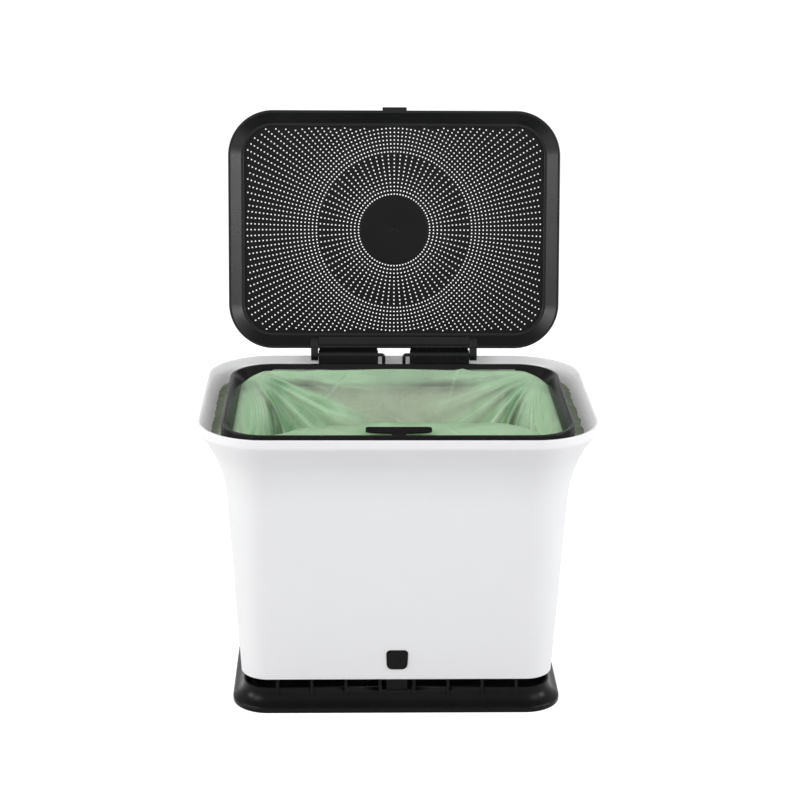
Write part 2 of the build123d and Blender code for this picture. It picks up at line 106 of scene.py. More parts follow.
def linear(hex_colour):
    """An sRGB hex colour as a linear RGBA value."""
    out = []
    for i in (1, 3, 5):
        c = int(hex_colour[i:i + 2], 16) / 255
        out.append(c / 12.92 if c <= 0.04045 else ((c + 0.055) / 1.055) ** 2.4)
    return (*out, 1.0)


def per_metre(feature):
    """A pattern's scale from the size of its features in millimetres."""
    return 1000.0 / feature


def add(tree, kind, settings=None, **links):
    """Add a node. settings are its properties, or its operation alone. links are its inputs by name, or by
    number as i0 and i1. A node given as a value stands for its first output, and a list joins several."""
    n = tree.nodes.new(kind)
    if isinstance(settings, str):
        settings = {"operation": settings}
    for key, value in (settings or {}).items():
        setattr(n, key, value)
    for key, value in links.items():
        numbered = key[0] == "i" and key[1:].isdigit()
        socket = n.inputs[int(key[1:]) if numbered else key.replace("_", " ")]
        for one in value if isinstance(value, list) else [value]:
            if isinstance(one, bpy.types.Node):
                one = one.outputs[0]
            if isinstance(one, bpy.types.NodeSocket):
                tree.links.new(one, socket)
            else:
                socket.default_value = one
    return n


def start_material(name):
    m = bpy.data.materials.new(name)
    m.use_nodes = True
    m.node_tree.nodes.clear()
    return m, m.node_tree


def moulded_plastic(name, colour, rubbed, roughness, grain_size, grain, shine=0.5, through=None):
    """Injection-moulded plastic: a fine spark grain, and a tone and gloss that vary a little where hands and
    cloths rub it. through is the colour of the light that a thin pale wall lets past, if it does."""
    m, t = start_material(name)
    place = add(t, "ShaderNodeTexCoord").outputs["Object"]
    # The real grain is about 0.1 mm: grain_size draws it a few times coarser, so that it shows
    fine = add(t, "ShaderNodeTexNoise", Vector=place, Scale=per_metre(grain_size), Detail=2.0)
    # Rubbed patches about 42 mm wide
    rub = add(t, "ShaderNodeTexNoise", Vector=place, Scale=per_metre(41.7), Detail=5.0, Roughness=0.6)
    gloss = add(t, MAP, Value=rub, From_Min=0.3, From_Max=0.7,
                To_Min=roughness - 0.03, To_Max=roughness + 0.05)
    tone = add(t, "ShaderNodeMixRGB", Fac=rub, Color1=linear(colour), Color2=linear(rubbed))
    bump = add(t, "ShaderNodeBump", Strength=grain, Distance=0.05 * MM, Height=fine)
    wall = add(t, "ShaderNodeBsdfPrincipled", Base_Color=tone, Roughness=gloss, Normal=bump,
               IOR=1.49, Specular_IOR_Level=shine)
    if through:
        glow = add(t, "ShaderNodeBsdfTranslucent", Color=linear(through))
        wall = add(t, "ShaderNodeMixShader", Fac=0.3, i1=wall, i2=glow)
    add(t, "ShaderNodeOutputMaterial", Surface=wall)
    return m


# White polypropylene of the sleeve, spark-textured: a soft satin skin over a 2 mm wall that glows faintly
white_polypropylene = moulded_plastic("white_polypropylene", "#e9e9ea", "#e5e5e7", 0.42, 0.5, 0.1,
                                      through="#f0efee")
# Black ABS of the lid frame, the knuckles and the bag's frame: satin, the grain shows as a dull sheen
black_abs = moulded_plastic("black_abs", "#0d0d0e", "#131314", 0.28, 0.45, 0.06, 0.25)
# Black ABS of the liner ring, from a polished mould: the bead along its edge catches the light
black_abs_polished = moulded_plastic("black_abs_polished", "#181818", "#1d1d1c", 0.24, 0.6, 0.05, 0.12)
# Black polypropylene of the base and the button: the same satin as the frame's, with less shine
black_base = moulded_plastic("black_polypropylene_base", "#0a0a0a", "#0f0e0e", 0.28, 0.5, 0.06, 0.09)
# Black polypropylene of the perforated screen: flatter and darker than the frame
black_screen = moulded_plastic("black_polypropylene_screen", "#0a0a0a", "#0f0f0f", 0.42, 0.6, 0.1, 0.13)
# Blackened spring steel of the hinge rods: its black oxide hides the metal, so the eye sees a dark satin skin
black_rod = moulded_plastic("blackened_steel_rod", "#0f0f10", "#171718", 0.28, 0.3, 0.1, 0.4)


def film_material():
    """Thin blown compostable film: milky green where it lies in several layers, clearer where it is single,
    with a soft oily shine and fine light creases. Its layers attribute says how thick it lies, and also
    carries painted highlight on the pleats' crests and painted shade beside them. Its fold attribute sets out
    the folds of the rear corners by angle, distance and strength."""
    m, t = start_material("compostable_film")
    place = add(t, "ShaderNodeTexCoord").outputs["Object"]
    layers = add(t, "ShaderNodeAttribute", {"attribute_name": "layers"}).outputs["Fac"]
    fold = add(t, "ShaderNodeAttribute", {"attribute_name": "fold"}).outputs["Vector"]
    strength = add(t, "ShaderNodeSeparateXYZ", Vector=fold).outputs["Z"]
    # Slack waves about 38 mm wide, and crinkles of about 4 mm
    slow = add(t, "ShaderNodeTexNoise", Vector=place, Scale=per_metre(38.5), Detail=5.0, Roughness=0.6)
    fine = add(t, "ShaderNodeTexNoise", Vector=place, Scale=per_metre(4.17), Detail=4.0, Roughness=0.6)

    # Straight crease lines where the film was crumpled, about 59 mm apart, in patches of about 53 mm
    bent = add(t, "ShaderNodeMixRGB", {"blend_type": "ADD"}, Fac=0.012, Color1=place,
               Color2=slow.outputs["Color"])
    cells = add(t, "ShaderNodeTexVoronoi", {"feature": "DISTANCE_TO_EDGE"}, Vector=bent,
                Scale=per_metre(58.8))
    line = add(t, MAP, SMOOTH, Value=cells, From_Min=0.0, From_Max=0.03, To_Min=1.0, To_Max=0.0)
    here = add(t, "ShaderNodeTexNoise", Vector=place, Scale=per_metre(52.6), Detail=1.0)
    here = add(t, MAP, SMOOTH, Value=here, From_Min=0.46, From_Max=0.62, To_Min=0.0, To_Max=0.55)
    line = add(t, MATHS, "MULTIPLY", i0=line, i1=here)

    # Fine folds that run out from the rear corners: ridges lie where the streaks' noise crosses its middle
    streak = add(t, "ShaderNodeTexNoise", Vector=fold, Scale=1.0, Detail=2.0, Roughness=0.5)
    ridge = add(t, MATHS, "ABSOLUTE", i0=add(t, MATHS, "SUBTRACT", i0=streak, i1=0.5))
    ridge = add(t, MAP, SMOOTH, Value=ridge, From_Min=0.0, From_Max=0.045, To_Min=1.0, To_Max=0.0)
    ridge = add(t, MATHS, "MULTIPLY", i0=ridge, i1=strength)
    vein = add(t, MATHS, "MAXIMUM", i0=line, i1=ridge)

    # body is how much film the eye looks through: its layers, with their painted highlight and shade, its
    # waves and its veins
    wave = add(t, MAP, Value=slow, From_Min=0.3, From_Max=0.7, To_Min=-0.22, To_Max=0.22)
    body = add(t, MATHS, "ADD", i0=layers, i1=wave)
    body = add(t, MATHS, "MULTIPLY_ADD", i0=vein, i1=0.38, i2=body)
    # Where folds lie on each other the green deepens, and the painted shade in the layers deepens it too
    deep_fold_and_shade = add(t, MAP, Value=body, From_Min=1.0, From_Max=1.9, To_Min=0.0, To_Max=1.0)
    # The edge that hangs outside is painted greyer and darker: painted shade of the gap it hangs in. There
    # the fold strength is below zero
    hem_painted_shade = add(t, MATHS, {"operation": "MULTIPLY", "use_clamp": True}, i0=strength, i1=-1.0)

    def film_tone(single, double, folded_and_shaded, hem_in_shade):
        """The film's colour in one layer and in two, where folds lie on each other and in painted shade, and
        along the hem in painted shade.
        """
        tone = add(t, "ShaderNodeMixRGB", Fac=body, Color1=linear(single), Color2=linear(double))
        tone = add(t, "ShaderNodeMixRGB", Fac=deep_fold_and_shade, Color1=tone, Color2=linear(folded_and_shaded))
        return add(t, "ShaderNodeMixRGB", Fac=hem_painted_shade, Color1=tone, Color2=linear(hem_in_shade))

    milk_tone = film_tone("#ccd6c3", "#c9edc6", "#7fb080", "#a4a79c")
    glow_tone = film_tone("#dce6d2", "#d0f3cc", "#8fc28e", "#999c91")
    # The hem's clear part is darker too: painted shade
    pane_tone = add(t, "ShaderNodeMixRGB", Fac=hem_painted_shade, Color1=linear("#e4ebda"), Color2=linear("#b4b6ac"))
    high = add(t, MATHS, "MULTIPLY_ADD", i0=vein, i1=0.85, i2=fine)
    bump = add(t, "ShaderNodeBump", Strength=0.35, Distance=0.8 * MM, Height=high)
    skin = add(t, "ShaderNodeBsdfPrincipled", Base_Color=milk_tone, Normal=bump, Roughness=0.34, IOR=1.46)
    glow = add(t, "ShaderNodeBsdfTranslucent", Color=glow_tone, Normal=bump)
    milk = add(t, "ShaderNodeMixShader", Fac=0.36, i1=skin, i2=glow)
    clear = add(t, "ShaderNodeBsdfTransparent", Color=pane_tone)
    see_through = add(t, MAP, Value=body, From_Min=0.0, From_Max=1.0, To_Min=0.72, To_Max=0.18)
    film = add(t, "ShaderNodeMixShader", Fac=see_through, i1=milk, i2=clear)
    add(t, "ShaderNodeOutputMaterial", Surface=film)
    return m


compostable_film = film_material()


def outline(offset, per_corner=20, along_x=(), along_y=()):
    """Points round the core rectangle at an offset, with the outward direction at each.
    along_x and along_y are extra places on the straight runs."""
    runs = ([(-x, CORE_B + offset, 0.0, 1.0) for x in along_x],
            [(-CORE_A - offset, -y, -1.0, 0.0) for y in along_y],
            [(x, -CORE_B - offset, 0.0, -1.0) for x in along_x],
            [(CORE_A + offset, y, 1.0, 0.0) for y in along_y])
    out = []
    for k, (sx, sy) in enumerate(((1, 1), (-1, 1), (-1, -1), (1, -1))):
        for i in range(per_corner + 1):
            a = math.pi / 2 * (k + i / per_corner)
            c, s = math.cos(a), math.sin(a)
            out.append((sx * CORE_A + offset * c, sy * CORE_B + offset * s, c, s))
        out += runs[k]
    return out


def rounded(points, steps=4):
    """A closed section of (offset, height, radius) with its corners rounded."""
    out = []
    for i, (x, z, radius) in enumerate(points):
        if radius <= 0:
            out.append((x, z))
            continue
        corner = Vector((x, z))
        to_last = Vector(points[i - 1][:2]) - corner
        to_next = Vector(points[(i + 1) % len(points)][:2]) - corner
        half = to_last.angle(to_next) / 2
        back = min(radius / math.tan(half), to_last.length * 0.49, to_next.length * 0.49)
        middle = (to_last.normalized() + to_next.normalized()).normalized()
        centre = corner + middle * (back * math.tan(half) / math.sin(half))
        start = corner + to_last.normalized() * back - centre
        end = corner + to_next.normalized() * back - centre
        turn = start.angle_signed(end)
        for k in range(steps + 1):
            q = centre + Matrix.Rotation(-turn * k / steps, 2) @ start
            out.append((q.x, q.y))
    return out


def ease(a, b, x):
    """From 0 at a to 1 at b, with a soft start and end."""
    t = min(max((x - a) / (b - a), 0.0), 1.0)
    return t * t * (3 - 2 * t)


def quarter(k, steps):
    """The angle of a step of a quarter turn."""
    return math.pi / 2 * k / steps


def shade(mesh, sharp):
    """Smooth shading, broken at the edges that turn more than an angle in degrees."""
    for p in mesh.polygons:
        p.use_smooth = True
    mesh.set_sharp_from_angle(angle=math.radians(sharp))


def place_mesh(name, bm, material, sharp=35.0):
    """Write a bmesh in millimetres as an object with one material."""
    me = bpy.data.meshes.new(name)
    bm.to_mesh(me)
    bm.free()
    me.transform(Matrix.Scale(MM, 4))
    shade(me, sharp)
    me.materials.append(material)
    o = bpy.data.objects.new(name, me)
    bpy.context.scene.collection.objects.link(o)
    return o


def in_millimetres(mesh):
    """Take a written mesh up again, to work on it in millimetres."""
    bm = bmesh.new()
    bm.from_mesh(mesh)
    bmesh.ops.scale(bm, vec=(1000, 1000, 1000), verts=bm.verts)
    return bm


def write_back(bm, mesh, sharp):
    """Put a bmesh in millimetres back into its mesh."""
    bmesh.ops.scale(bm, vec=(MM, MM, MM), verts=bm.verts)
    bm.to_mesh(mesh)
    bm.free()
    shade(mesh, sharp)


def fit_piece(o, body, node, edge=0.0):
    """Hide the node that a piece stands for, hang the piece on its body and, if asked, round its edges."""
    if edge:
        m = o.modifiers.new("edge_rounding", "BEVEL")
        m.width = edge * MM
        m.segments = 2
        m.limit_method = "ANGLE"
        m.angle_limit = math.radians(35)
        m.harden_normals = True
    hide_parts(node)
    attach(o, body)


def sweep(bm, section, per_corner=20, lift=None, along_x=(), along_y=()):
    """Carry a closed section round the core rectangle as quads. lift moves a point, if given."""
    rows = []
    for r, z in section:
        places = [Vector((x, y, z)) for x, y, _, _ in outline(r, per_corner, along_x, along_y)]
        rows.append([bm.verts.new(lift(p) if lift else p) for p in places])
    n = len(rows[0])
    for j in range(len(rows)):
        low, high = rows[j], rows[(j + 1) % len(rows)]
        for i in range(n):
            bm.faces.new((low[i], low[(i + 1) % n], high[(i + 1) % n], high[i]))


def prism(bm, points, axis, low, high):
    """Extrude a closed outline along X, along Y from (X, Z) points, or along Z from (X, Y) points."""
    def at(p, s):
        return Vector({"x": (s, p[0], p[1]), "y": (p[0], s, p[1]), "z": (p[0], p[1], s)}[axis])
    a = [bm.verts.new(at(p, low)) for p in points]
    b = [bm.verts.new(at(p, high)) for p in points]
    faces = [bm.faces.new(a), bm.faces.new(list(reversed(b)))]
    for i in range(len(points)):
        j = (i + 1) % len(points)
        faces.append(bm.faces.new((a[i], b[i], b[j], a[j])))
    return faces


def both_sides(near, far):
    """The low and high ends of a span on the right of the middle, and then on its left."""
    return ((near, far), (-far, -near))


def upright_fins(bm, profile, count, thickness):
    """Fins at the rib pitch against the front and rear walls, and four against each side wall."""
    half = thickness / 2
    faces = []
    for k in range(count):
        x = (k - (count - 1) / 2) * RIB_PITCH
        for s in (1, -1):
            faces += prism(bm, [(s * (CORE_B + r), z) for r, z in profile], "x", x - half, x + half)
    for k in range(4):
        y = (k - 1.5) * RIB_PITCH
        for s in (1, -1):
            faces += prism(bm, [(s * (CORE_A + r), z) for r, z in profile], "y", y - half, y + half)
    return faces


def box_points(u0, u1, v0, v1):
    return [(u0, v0), (u1, v0), (u1, v1), (u0, v1)]


def arc_points(u, v, r, steps, start, end):
    """Points on an arc, with both its ends."""
    angles = [start + (end - start) * k / steps for k in range(steps + 1)]
    return [(u + r * math.cos(a), v + r * math.sin(a)) for a in angles]


def tube(bm, points, radius, sides=14):
    """A round rod along a line of points, closed at both ends."""
    rings = []
    for i, p in enumerate(points):
        a = points[max(i - 1, 0)]
        b = points[min(i + 1, len(points) - 1)]
        ahead = (Vector(b) - Vector(a)).normalized()
        side = ahead.cross(Vector((0, 1, 0))).normalized()
        up = side.cross(ahead)
        ring = []
        for k in range(sides):
            w = k * 2 * math.pi / sides
            ring.append(bm.verts.new(Vector(p) + (side * math.cos(w) + up * math.sin(w)) * radius))
        rings.append(ring)
    for a, b in zip(rings, rings[1:]):
        for k in range(sides):
            bm.faces.new((a[k], a[(k + 1) % sides], b[(k + 1) % sides], b[k]))
    bm.faces.new(rings[0])
    bm.faces.new(list(reversed(rings[-1])))


def turn_out(bm):
    bmesh.ops.recalc_face_normals(bm, faces=bm.faces[:])


def cut_away(o, outline_points, low, high):
    """Cut a prism along Y out of a piece, and keep its mesh plain."""
    bm = bmesh.new()
    prism(bm, outline_points, "y", low, high)
    turn_out(bm)
    finish = o.data.materials[0]
    cutter = place_mesh("cutter", bm, finish)
    m = o.modifiers.new("cut", "BOOLEAN")
    m.object = cutter
    m.solver = "EXACT"
    bpy.context.view_layer.update()
    flat = bpy.data.meshes.new_from_object(o.evaluated_get(bpy.context.evaluated_depsgraph_get()))
    o.modifiers.clear()
    o.data = flat
    flat.materials.clear()
    flat.materials.append(finish)
    bpy.data.objects.remove(cutter)


def shell_r(z):
    """Offset of the sleeve's straight outer wall at a height."""
    return SHELL_R + SHELL_DRAFT * (z - SEAT_Z)


DRAFT = math.atan(SHELL_DRAFT)
FLARE_END = math.asin(math.sin(DRAFT) + (FLARE_END_Z - FLARE_Z) / FLARE_RADIUS)


def flare_point(a, inset=0.0):
    """Offset and height on the flare, by the angle that the wall leans out there."""
    centre = shell_r(FLARE_Z) + FLARE_RADIUS * math.cos(DRAFT)
    radius = FLARE_RADIUS + inset
    return (centre - radius * math.cos(a), FLARE_Z - FLARE_RADIUS * math.sin(DRAFT) + radius * math.sin(a))


END_R, END_Z = flare_point(FLARE_END)
RIM_R = END_R + LIP_RADIUS - LIP_RADIUS * math.cos(FLARE_END)
LIP_Z = END_Z + LIP_RADIUS * math.sin(FLARE_END)


def wall_line(inset):
    """Sleeve wall from its bottom edge up to the lip, moved in by a wall or none."""
    middle = 92.0
    out = [(shell_r(SEAT_Z) - inset, SEAT_Z), (shell_r(middle) - inset, middle)]
    out += [flare_point(DRAFT + (FLARE_END - DRAFT) * k / 14, inset) for k in range(15)]
    lip = LIP_RADIUS - inset
    for k in range(1, 7):
        lean = FLARE_END * (1 - k / 6)
        out.append((RIM_R - LIP_RADIUS + lip * math.sin(math.pi / 2 - lean), LIP_Z - lip * math.sin(lean)))
    return out


def window_outline(grow, steps=6):
    """Front outline of the button's window, a rounded trapezoid in (X, Z)."""
    low, high = 7.0 + grow, 7.75 + grow
    z0, z1 = 32.6 - grow, 47.5 + grow
    r0, r1 = 3.6 + grow, 2.5 + grow
    return rounded([(-low, z0, r0), (low, z0, r0), (high, z1, r1), (-high, z1, r1)], steps)


def make_sleeve():
    outer, inner = wall_line(0.0), wall_line(SHELL_WALL)
    rim_in, rim_foot = RIM_R - SHELL_WALL, RIM_Z - 3
    rim = rounded([(RIM_R, rim_foot, 0), (RIM_R, RIM_Z, 0.9), (rim_in, RIM_Z, 0.9), (rim_in, rim_foot, 0)], 5)
    # The rim's two feet lie on the lip's straight walls, so they go
    rim = rim[1:-1]
    # The bottom edge is rounded by 0.3 mm
    foot = [(shell_r(SEAT_Z) - SHELL_WALL + 0.3, SEAT_Z), (shell_r(SEAT_Z) - 0.3, SEAT_Z)]
    outer[0] = (outer[0][0], SEAT_Z + 0.3)
    inner[0] = (inner[0][0], SEAT_Z + 0.3)
    bm = bmesh.new()
    sweep(bm, outer + rim + list(reversed(inner)) + foot, 24)
    turn_out(bm)
    sleeve = place_mesh("sleeve_white", bm, white_polypropylene, 40)
    # The button's window, cut through the front wall
    cut_away(sleeve, window_outline(0.45), -90.0, -60.0)
    # Slim fins inside, that stiffen the wall and run out in the flare
    bm = in_millimetres(sleeve.data)
    low, high = shell_r(52) - SHELL_WALL, shell_r(FLARE_Z) - SHELL_WALL
    fin = [(low + 0.8, 52), (low - 2.0, 54), (low - 2.6, 58), (high - 2.6, 156), (high - 1.4, 163),
           (high + 1.9, 177), (high + 0.8, 160)]
    bmesh.ops.recalc_face_normals(bm, faces=upright_fins(bm, fin, 7, 1.6))
    write_back(bm, sleeve.data, 38)
    fit_piece(sleeve, "bin", "outer_shell")


make_sleeve()


def skirt_r(z, inset=0.0):
    """Offset of the base's concave skirt at a height."""
    out, up = FOOT_R - SKIRT_TOP_R, SKIRT_TOP_Z - FOOT_H
    radius = (out ** 2 + up ** 2) / (2 * out)
    return SKIRT_TOP_R + radius - math.sqrt(max((radius + inset) ** 2 - (SKIRT_TOP_Z - z) ** 2, 0.0))


PLUG_OUT_R = shell_r(SEAT_Z) - SHELL_WALL - 0.35
PLUG_IN_R = PLUG_OUT_R - 1.8
PLUG_TOP = SEAT_Z + 21.0
# The front of the cuts for the snap arm, clear of both walls that they go through
SLOT_FRONT = -(CORE_B + 24.0)


def make_skirt():
    """A concave flare on a rounded foot edge, hollow below, with the snap arm's slot."""
    steps = [FOOT_H + (SKIRT_TOP_Z - FOOT_H) * k / 12 for k in range(1, 12)]
    inside = FOOT_R - SKIRT_WALL
    section = rounded([(inside, 0.0, 0.5), (FOOT_R, 0.0, 0.7), (FOOT_R, FOOT_H - 1.4, 0.0)], 4)
    section += [(FOOT_R - 0.02, FOOT_H - 0.8), (FOOT_R - 0.15, FOOT_H - 0.3)]
    section += [(skirt_r(z), z) for z in steps]
    section += [(SKIRT_TOP_R, SKIRT_TOP_Z - 0.5), (SKIRT_TOP_R - 0.15, SKIRT_TOP_Z - 0.1),
                (SKIRT_TOP_R - 0.5, SKIRT_TOP_Z), (SKIRT_TOP_R - SKIRT_WALL, SKIRT_TOP_Z)]
    section += [(skirt_r(z, SKIRT_WALL), z) for z in reversed(steps[2:])]
    section += [(inside, FOOT_H - 1.0)]
    bm = bmesh.new()
    sweep(bm, section, 24)
    turn_out(bm)
    skirt = place_mesh("base_skirt", bm, black_base, 40)
    cut_away(skirt, box_points(-10.7, 10.7, 14.5, 24.5), SLOT_FRONT, -(CORE_B + 12.0))
    fit_piece(skirt, "bin", "base")


def make_plug_ring():
    """The ring that locates the sleeve, open at the front for the snap arm."""
    foot = SEAT_Z - 1.5
    bm = bmesh.new()
    sweep(bm, rounded([(PLUG_IN_R, foot, 0.3), (PLUG_OUT_R, foot, 0.3), (PLUG_OUT_R, PLUG_TOP, 0.8),
                       (PLUG_IN_R, PLUG_TOP, 0.6)], 3), 16)
    turn_out(bm)
    plug = place_mesh("base_plug_ring", bm, black_base, 40)
    cut_away(plug, box_points(-9.0, 9.0, SEAT_Z - 2.0, PLUG_TOP + 2.0), SLOT_FRONT, -(CORE_B + 13.5))
    fit_piece(plug, "bin", "base")


def make_base_ribs():
    """Ribs that bridge the air gap and carry the sleeve."""
    bm = bmesh.new()
    rib = [(PLUG_IN_R, SKIRT_TOP_Z - 3.0), (20.7, 9.6), (20.7, SEAT_Z), (PLUG_IN_R, SEAT_Z)]
    upright_fins(bm, rib, 8, 2.2)
    turn_out(bm)
    fit_piece(place_mesh("base_ribs", bm, black_base, 30), "bin", "base", 0.35)


def slot_lines(half, count, slot_half, margin):
    """Grid lines across the grille floor: its two edges, with a pair of lines for each slot between them."""
    lines = [-(half + margin)]
    for k in range(count):
        centre = (k - (count - 1) / 2) * 2 * (half + 2.0) / count
        lines += [centre - slot_half, centre + slot_half]
    return lines + [half + margin]


def make_base_floor():
    """The closed pan below, and the slotted grille floor above it."""
    bm = bmesh.new()
    prism(bm, [(x, y) for x, y, _, _ in outline(skirt_r(8.0, SKIRT_WALL / 2), 8)], "z", 6.0, 8.0)
    xs = slot_lines(CORE_A, 6, 12.0, 11.6)
    ys = slot_lines(CORE_B, 5, 2.5, 11.6)
    kept = {(i, j) for i in range(len(xs) - 1) for j in range(len(ys) - 1) if not (i % 2 and j % 2)}
    corner = {}

    def face(*places):
        for i, j, k in places:
            if (i, j, k) not in corner:
                corner[i, j, k] = bm.verts.new((xs[i], ys[j], (26.0, 28.0)[k]))
        bm.faces.new([corner[place] for place in places])

    for i, j in kept:
        face((i, j, 1), (i + 1, j, 1), (i + 1, j + 1, 1), (i, j + 1, 1))
        face((i, j, 0), (i, j + 1, 0), (i + 1, j + 1, 0), (i + 1, j, 0))
        # A wall on each side that borders a slot or the outer edge
        for near, p, q in (((i - 1, j), (i, j + 1), (i, j)), ((i + 1, j), (i + 1, j), (i + 1, j + 1)),
                           ((i, j - 1), (i, j), (i + 1, j)), ((i, j + 1), (i + 1, j + 1), (i, j + 1))):
            if near not in kept:
                face((*p, 0), (*q, 0), (*q, 1), (*p, 1))
    turn_out(bm)
    fit_piece(place_mesh("base_floor", bm, black_base, 30), "bin", "base")


make_skirt()
make_plug_ring()
make_base_ribs()
make_base_floor()


def rounded_copy(name, node, finish, body, edge):
    """A merged copy of a moulded node with its sharp edges rounded."""
    bm = bmesh.new()
    bm.from_mesh(nodes[node].data)
    bmesh.ops.remove_doubles(bm, verts=bm.verts, dist=0.01 * MM)
    bmesh.ops.dissolve_limit(bm, angle_limit=math.radians(1.0), verts=bm.verts, edges=bm.edges)
    bmesh.ops.scale(bm, vec=(1000, 1000, 1000), verts=bm.verts)
    fit_piece(place_mesh(name, bm, finish, 35), body, node, edge)


rounded_copy("snap_button", "release_latch", black_base, "latch", 0.35)
rounded_copy("bag_frame", "inner_frame", black_abs, "bin", 0.25)


def make_rod(side, name):
    """A bent rod: its leg stands in the frame, and its run passes through a knuckle into the lid's ear."""
    leg_x, leg_foot, run_end = 8.0, 208.6, 64.3
    points = [(side * leg_x, AXIS_Y, leg_foot)]
    for k in range(9):
        a = quarter(k, 8)
        points.append((side * (leg_x + ROD_BEND - ROD_BEND * math.cos(a)), AXIS_Y,
                       AXIS_Z - ROD_BEND + ROD_BEND * math.sin(a)))
    points.append((side * run_end, AXIS_Y, AXIS_Z))
    bm = bmesh.new()
    tube(bm, points, ROD_R)
    turn_out(bm)
    fit_piece(place_mesh("hinge_rod_" + name, bm, black_rod, 40), "bin", "hinge_pin_" + name)


make_rod(1, "right")
make_rod(-1, "left")


def rear_rise(x, y):
    """How far the ring's rear run is raised at a place, from 0 to 1."""
    return ease(121.0, 99.0, abs(x)) * ease(CORE_B - 2.0, CORE_B + 12.0, y)


def raise_rear(p):
    """Make the ring's rear run shallow, to swing clear of the frame, and keep the slope of its funnel."""
    rise = rear_rise(p.x, p.y)
    low = RING_LOW + (RING_REAR_LOW - RING_LOW) * rise
    if rise > 0 and p.z < low:
        funnel_foot = RING_LOW + 1.4
        ledge_y = CORE_B + RING_R - 2.5
        if p.y < ledge_y and abs(p.x) <= CORE_A:
            slope = (RING_LEDGE - RING_IN_R) / (RING_Z - RING_LOW - 1.4)
            funnel = RING_IN_R + max(low - funnel_foot, 0.0) * slope
            p.y = max(p.y, min(CORE_B + funnel, ledge_y))
        p.z = low
    return p


def make_ring_sweep():
    """The ring: a flat top with a bead, a funnel inside it, hollow below."""
    web = RING_R - 1.7
    section = rounded([(web, RING_LOW, 0.3), (RING_R, RING_LOW, 0.4), (RING_R, RING_Z, 0.6),
                       (RING_LEDGE, RING_Z, 0.5), (RING_IN_R, RING_LOW + 1.4, 0.5),
                       (RING_IN_R, RING_LOW, 0.4), (RING_IN_R + 1.7, RING_LOW, 0.2),
                       (web, RING_Z - 3.1, 0.3)], 3)
    bm = bmesh.new()
    sweep(bm, section, 24, raise_rear, [float(x) for x in range(-92, 93, 4)])
    turn_out(bm)
    ring = place_mesh("liner_ring_sweep", bm, black_abs_polished, 40)
    fit_piece(ring, "ring", "liner_ring")


def make_lifting_tab():
    """A T that points into the mouth, with a slightly bowed front edge."""
    half, corner = 23.5, 2.4
    rear_y, side_y, front_y = -68.5, -78.0, -80.6
    across = half - corner
    right = []
    for k in range(5):
        a = math.pi / 2 - quarter(k, 5)
        right.append((across + corner * math.cos(a), rear_y - corner + corner * math.sin(a)))
    for k in range(6):
        a = -quarter(k, 5)
        right.append((across + corner * math.cos(a), side_y + corner + corner * math.sin(a)))
    for k in range(6):
        share = 0.9 * (1 - k / 6)
        right.append((half * share, front_y + 2.6 * share ** 2))
    left = [(-x, y) for x, y in reversed(right)]
    bm = bmesh.new()
    prism(bm, right + [(0.0, front_y)] + left, "z", RING_Z - 1.5, RING_Z)
    stem = box_points(-5.1, 5.1, -(CORE_B + RING_R - 0.9), front_y + 2.0)
    prism(bm, stem, "z", RING_Z - 1.6, RING_Z - 0.02)
    turn_out(bm)
    tab = place_mesh("liner_ring_tab", bm, black_abs_polished, 30)
    fit_piece(tab, "ring", "liner_ring", 0.3)


def make_knuckles():
    """Two hinge knuckles on the ring's rear edge, flat behind to stop the lid."""
    c, s = math.cos(math.radians(LID_OPEN)), math.sin(math.radians(LID_OPEN))
    stop_foot = (AXIS_Y + BARREL_R * s + STOP_RISE * c, AXIS_Z + BARREL_R * c - STOP_RISE * s)
    barrel = arc_points(AXIS_Y, AXIS_Z, BARREL_R, 18, math.pi, math.atan2(BARREL_R * c, BARREL_R * s))
    edge = CORE_B + RING_R - 1.5
    profile = [(edge, KNUCKLE_FOOT_Z), (edge, RING_Z), (AXIS_Y - BARREL_R, RING_Z)]
    profile += barrel + [stop_foot, (AXIS_Y + 0.5, KNUCKLE_FOOT_Z)]
    bm = bmesh.new()
    for x0, x1 in both_sides(12.5, KNUCKLE_END):
        prism(bm, profile, "x", x0, x1)
    turn_out(bm)
    knuckles = place_mesh("liner_ring_knuckles", bm, black_abs, 30)
    fit_piece(knuckles, "ring", "liner_ring", 0.25)


make_ring_sweep()
make_lifting_tab()
make_knuckles()


def open_lid(bm):
    """Turn what was drawn shut about the hinge, to where the lid stands open."""
    pivot = Vector((0, AXIS_Y, AXIS_Z))
    turn = Matrix.Rotation(-math.radians(LID_OPEN), 4, "X")
    matrix = Matrix.Translation(pivot) @ turn @ Matrix.Translation(-pivot)
    bmesh.ops.transform(bm, matrix=matrix, verts=bm.verts)


def make_lid_bevel():
    """Bevelled frame: outer edge, inner step that holds the screen, and its slope underneath."""
    seat, step, ledge = 25.0, 22.9, 25.2
    section = rounded([(LID_R - 1.8, LID_Z, 0.5), (LID_R, LID_Z, 0.6), (LID_R, LID_Z + LID_EDGE, 0.8),
                       (LID_R - 8.0, LID_TOP_Z, 1.2), (seat, LID_TOP_Z, 0.3), (seat, SCREEN_Z, 0.1),
                       (step, SCREEN_Z, 0.1), (step, LEDGE_Z, 0.85), (ledge, LEDGE_Z, 0.35)], 4)
    bm = bmesh.new()
    sweep(bm, section, 28)
    bmesh.ops.translate(bm, vec=(0, LID_Y, 0), verts=bm.verts)
    turn_out(bm)
    open_lid(bm)
    bevel = place_mesh("lid_frame_bevel", bm, black_abs, 50)
    fit_piece(bevel, "lid", "lid_frame")


